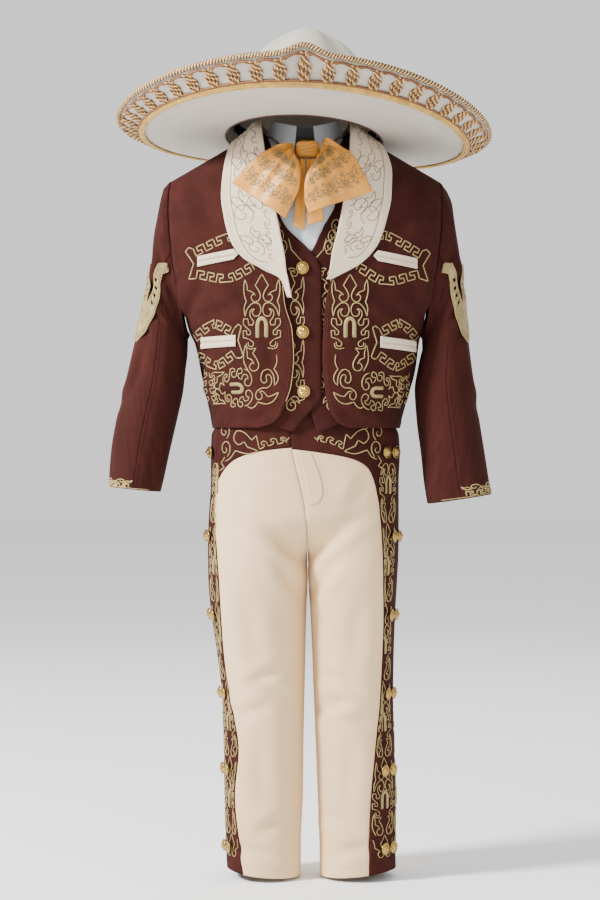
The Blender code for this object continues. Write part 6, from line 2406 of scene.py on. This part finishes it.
# ---------------------------------------------------------------- stage
def stage_pieces():
    world = bpy.data.worlds.new("studio")
    bpy.context.scene.world = world
    world.use_nodes = True
    ground = world.node_tree.nodes["Background"]
    ground.inputs["Color"].default_value = (1, 1, 1, 1)
    ground.inputs["Strength"].default_value = SET["surround"]
    mesh = bpy.data.meshes.new("floor")
    half = 16
    low = cad_box[0][2] - 0.003
    corners = [(-half, -half, low), (half, -half, low), (half, half, low), (-half, half, low)]
    mesh.from_pydata(corners, [], [(0, 1, 2, 3)])
    pale = Nodes("floor", 0.9)
    pale.shader.inputs["Base Color"].default_value = (0.93, 0.93, 0.93, 1)
    made = [new_object("floor", mesh, pale.made)]
    for name, place, size, power in (
        ("key", (-3, -1.5, 1.7), 0.7, SET["key_light"]),
        ("fill", (2.3, -2.2, 0.2), 2.4, 22),
        ("back", (0.6, 2.4, 1.6), 2, 26),
    ):
        data = bpy.data.lights.new(name, "AREA")
        data.size = size
        data.energy = power
        lamp = bpy.data.objects.new(name, data)
        lamp.location = place
        lamp.rotation_euler = (Vector((0, 0, -0.4)) - Vector(place)).to_track_quat("-Z", "Y").to_euler()
        bpy.context.scene.collection.objects.link(lamp)
        made.append(lamp)
    data = bpy.data.cameras.new("camera")
    data.sensor_fit = "AUTO"
    data.angle = 2 * atan(0.6075 / 3.1)
    camera = bpy.data.objects.new("camera", data)
    camera.location = (-0.00675, -3.1, -0.405)
    camera.rotation_euler = (pi / 2, 0, 0)
    bpy.context.scene.collection.objects.link(camera)
    bpy.context.scene.camera = camera


# ---------------------------------------------------------------- the add-on
SET = {}


def colour_setting(name, default, words):
    return bpy.props.FloatVectorProperty(
        name=name, description=words, default=default, subtype="COLOR", size=3, min=0.0, max=1.0
    )


def length_setting(name, default, words):
    return bpy.props.FloatProperty(
        name=name, description=words, default=default * MM, min=0.0, unit="LENGTH", precision=5
    )


class CharroSizes(bpy.types.PropertyGroup):
    """Sizes of the suit's needlework and cords."""

    crease_depth: bpy.props.FloatProperty(
        name="Crease depth", description="How much deeper than their tables the creases are laid",
        default=2.9, min=0.0, max=4.0,
    )
    thread_width: length_setting("Thread width", 1.45, "Width of the couched gold thread")
    thread_height: length_setting("Thread height", 0.95, "Height of the couched gold thread")
    stitch_length: length_setting("Stitch length", 3.2, "Length of one topstitch")
    stitch_gap: length_setting("Stitch gap", 1.3, "Gap between two topstitches")
    cord_strand: length_setting("Cord strand", 1.15, "Radius of one strand of the hat's trellis")


class CharroColours(bpy.types.PropertyGroup):
    """Colours of the suit's materials."""

    suede: colour_setting("Suede", (0.034, 0.0081, 0.0061), "Jacket, waistcoat, yokes and strips")
    collar: colour_setting("Cream suede", (0.62, 0.51, 0.38), "Collar and pocket welts")
    gabardine: colour_setting("Gabardine", (0.72, 0.515, 0.29), "Panels of the trousers")
    satin: colour_setting("Satin", (0.60, 0.245, 0.032), "Bow")
    felt: colour_setting("Felt", (0.45, 0.402, 0.342), "Sombrero")
    cotton: colour_setting("Cotton", (0.61, 0.64, 0.70), "Shirt")
    sweatband: colour_setting("Sweatband", (0.02, 0.023, 0.045), "Band inside the sombrero")
    gold_thread: colour_setting("Gold thread", (0.36, 0.27, 0.105), "Couched scrolls and appliques")
    gilt: colour_setting("Gilt metal", (0.40, 0.253, 0.07), "Buttons and studs")
    copper_cord: colour_setting(
        "Copper cord", (0.19, 0.065, 0.017), "Darker strand of the sombrero's cords"
    )
    gold_cord: colour_setting("Gold cord", (0.66, 0.44, 0.16), "Lighter strand of the sombrero's cords")
    braid: colour_setting("Braid", (0.63, 0.38, 0.08), "Braid along the brim's fold")


class CharroLight(bpy.types.PropertyGroup):
    """Light of the studio."""

    surround: bpy.props.FloatProperty(
        name="Surround", description="Strength of the even white light", default=1.05, min=0.0
    )
    key_light: bpy.props.FloatProperty(
        name="Key light", description="Power of the main lamp in watts", default=430.0, min=0.0
    )


GROUPS = (CharroSizes, CharroColours, CharroLight)


def take_settings(scene):
    """Copies the scene's settings, with lengths in millimetres, to where the builders read them."""
    for group in GROUPS:
        values = getattr(scene, group.__name__.lower())
        for key in group.__annotations__:
            value = getattr(values, key)
            SET[key] = value if isinstance(value, float) else tuple(value)
    for key in ("thread_width", "thread_height", "stitch_length", "stitch_gap", "cord_strand"):
        SET[key] /= MM


class Maker:
    """What the operators share: each reads the settings and makes its pieces."""

    bl_options = {"REGISTER", "UNDO"}

    def execute(self, context):
        take_settings(context.scene)
        self.build()
        return {"FINISHED"}


class MakeStage(Maker, bpy.types.Operator):
    """Make the floor, the lights and the camera"""

    bl_idname = "charro.stage"
    bl_label = "Stage"
    build = staticmethod(stage_pieces)


class MakeJacket(Maker, bpy.types.Operator):
    """Make the jacket's fronts and back"""

    bl_idname = "charro.jacket"
    bl_label = "Jacket body"
    build = staticmethod(jacket_pieces)


class MakeSleeves(Maker, bpy.types.Operator):
    """Make the sleeves with their horseshoes"""

    bl_idname = "charro.sleeves"
    bl_label = "Sleeves"
    build = staticmethod(sleeve_pieces)


class MakeCollar(Maker, bpy.types.Operator):
    """Make the shawl collar and the pocket welts"""

    bl_idname = "charro.collar"
    bl_label = "Collar and welts"
    build = staticmethod(collar_pieces)


class MakeWaistcoat(Maker, bpy.types.Operator):
    """Make the waistcoat and its buttons"""

    bl_idname = "charro.waistcoat"
    bl_label = "Waistcoat"
    build = staticmethod(vest_pieces)


class MakeShirt(Maker, bpy.types.Operator):
    """Make the shirt front, back and collar"""

    bl_idname = "charro.shirt"
    bl_label = "Shirt"
    build = staticmethod(shirt_pieces)


class MakeBow(Maker, bpy.types.Operator):
    """Make the bow's wings, tails and knot"""

    bl_idname = "charro.bow"
    bl_label = "Bow"
    build = staticmethod(bow_pieces)


class MakeTrousers(Maker, bpy.types.Operator):
    """Make the trousers with their yokes, strips, waistband and fly"""

    bl_idname = "charro.trousers"
    bl_label = "Trousers"
    build = staticmethod(trouser_pieces)


class MakeStuds(Maker, bpy.types.Operator):
    """Make the pairs of studs down the trousers' sides"""

    bl_idname = "charro.studs"
    bl_label = "Studs"
    build = staticmethod(stud_pieces)


class MakeSombrero(Maker, bpy.types.Operator):
    """Make the brim, the crown and the sweatband"""

    bl_idname = "charro.sombrero"
    bl_label = "Sombrero"
    build = staticmethod(hat_pieces)


class MakeCords(Maker, bpy.types.Operator):
    """Make the braid, the edge cord and the trellis of ropes"""

    bl_idname = "charro.cords"
    bl_label = "Sombrero cords"
    build = staticmethod(hat_cord_pieces)


class MakeJacketScrolls(Maker, bpy.types.Operator):
    """Couch the scrolls and keys of the jacket"""

    bl_idname = "charro.jacket_scrolls"
    bl_label = "Jacket scrolls"
    build = staticmethod(jacket_scrolls)


class MakeCuffScrolls(Maker, bpy.types.Operator):
    """Couch the scrolls of the cuffs"""

    bl_idname = "charro.cuff_scrolls"
    bl_label = "Cuff scrolls"
    build = staticmethod(cuff_scrolls)


class MakeCollarScrolls(Maker, bpy.types.Operator):
    """Couch the fine scrolls of the collar and stitch its edge"""

    bl_idname = "charro.collar_scrolls"
    bl_label = "Collar scrolls"
    build = staticmethod(collar_scrolls)


class MakeWaistcoatScrolls(Maker, bpy.types.Operator):
    """Couch the scrolls of the waistcoat"""

    bl_idname = "charro.waistcoat_scrolls"
    bl_label = "Waistcoat scrolls"
    build = staticmethod(vest_scrolls)


class MakeBowScrolls(Maker, bpy.types.Operator):
    """Embroider the flower scrolls of the bow"""

    bl_idname = "charro.bow_scrolls"
    bl_label = "Bow scrolls"
    build = staticmethod(bow_scrolls)


class MakeTrouserScrolls(Maker, bpy.types.Operator):
    """Couch the scrolls of the yokes and side strips"""

    bl_idname = "charro.trouser_scrolls"
    bl_label = "Trouser scrolls"
    build = staticmethod(trouser_scrolls)


class MakeSeams(Maker, bpy.types.Operator):
    """Stitch the seams, hems and free edges"""

    bl_idname = "charro.seams"
    bl_label = "Seams"
    build = staticmethod(seam_pieces)


OPERATORS = (
    MakeStage, MakeJacket, MakeSleeves, MakeCollar, MakeWaistcoat, MakeShirt, MakeBow,
    MakeTrousers, MakeStuds, MakeSombrero, MakeCords, MakeJacketScrolls, MakeCuffScrolls,
    MakeCollarScrolls, MakeWaistcoatScrolls, MakeBowScrolls, MakeTrouserScrolls, MakeSeams,
)


class CharroPanel(bpy.types.Panel):
    """Settings and operators of the suit"""

    bl_idname = "VIEW3D_PT_charro_suit"
    bl_label = "Charro suit"
    bl_space_type = "VIEW_3D"
    bl_region_type = "UI"
    bl_category = "Charro suit"

    def draw(self, context):
        for group in GROUPS:
            box = self.layout.box()
            box.label(text=group.__doc__)
            for key in group.__annotations__:
                box.prop(getattr(context.scene, group.__name__.lower()), key)
        for kind in OPERATORS:
            self.layout.operator(kind.bl_idname)


def register():
    for kind in (*GROUPS, *OPERATORS, CharroPanel):
        bpy.utils.register_class(kind)
    for group in GROUPS:
        setattr(bpy.types.Scene, group.__name__.lower(), bpy.props.PointerProperty(type=group))


def unregister():
    for group in GROUPS:
        delattr(bpy.types.Scene, group.__name__.lower())
    for kind in (CharroPanel, *reversed(OPERATORS), *reversed(GROUPS)):
        bpy.utils.unregister_class(kind)


def main():
    register()
    for kind in OPERATORS:
        family, name = kind.bl_idname.split(".")
        getattr(getattr(bpy.ops, family), name)()


if __name__ == "__main__":
    main()
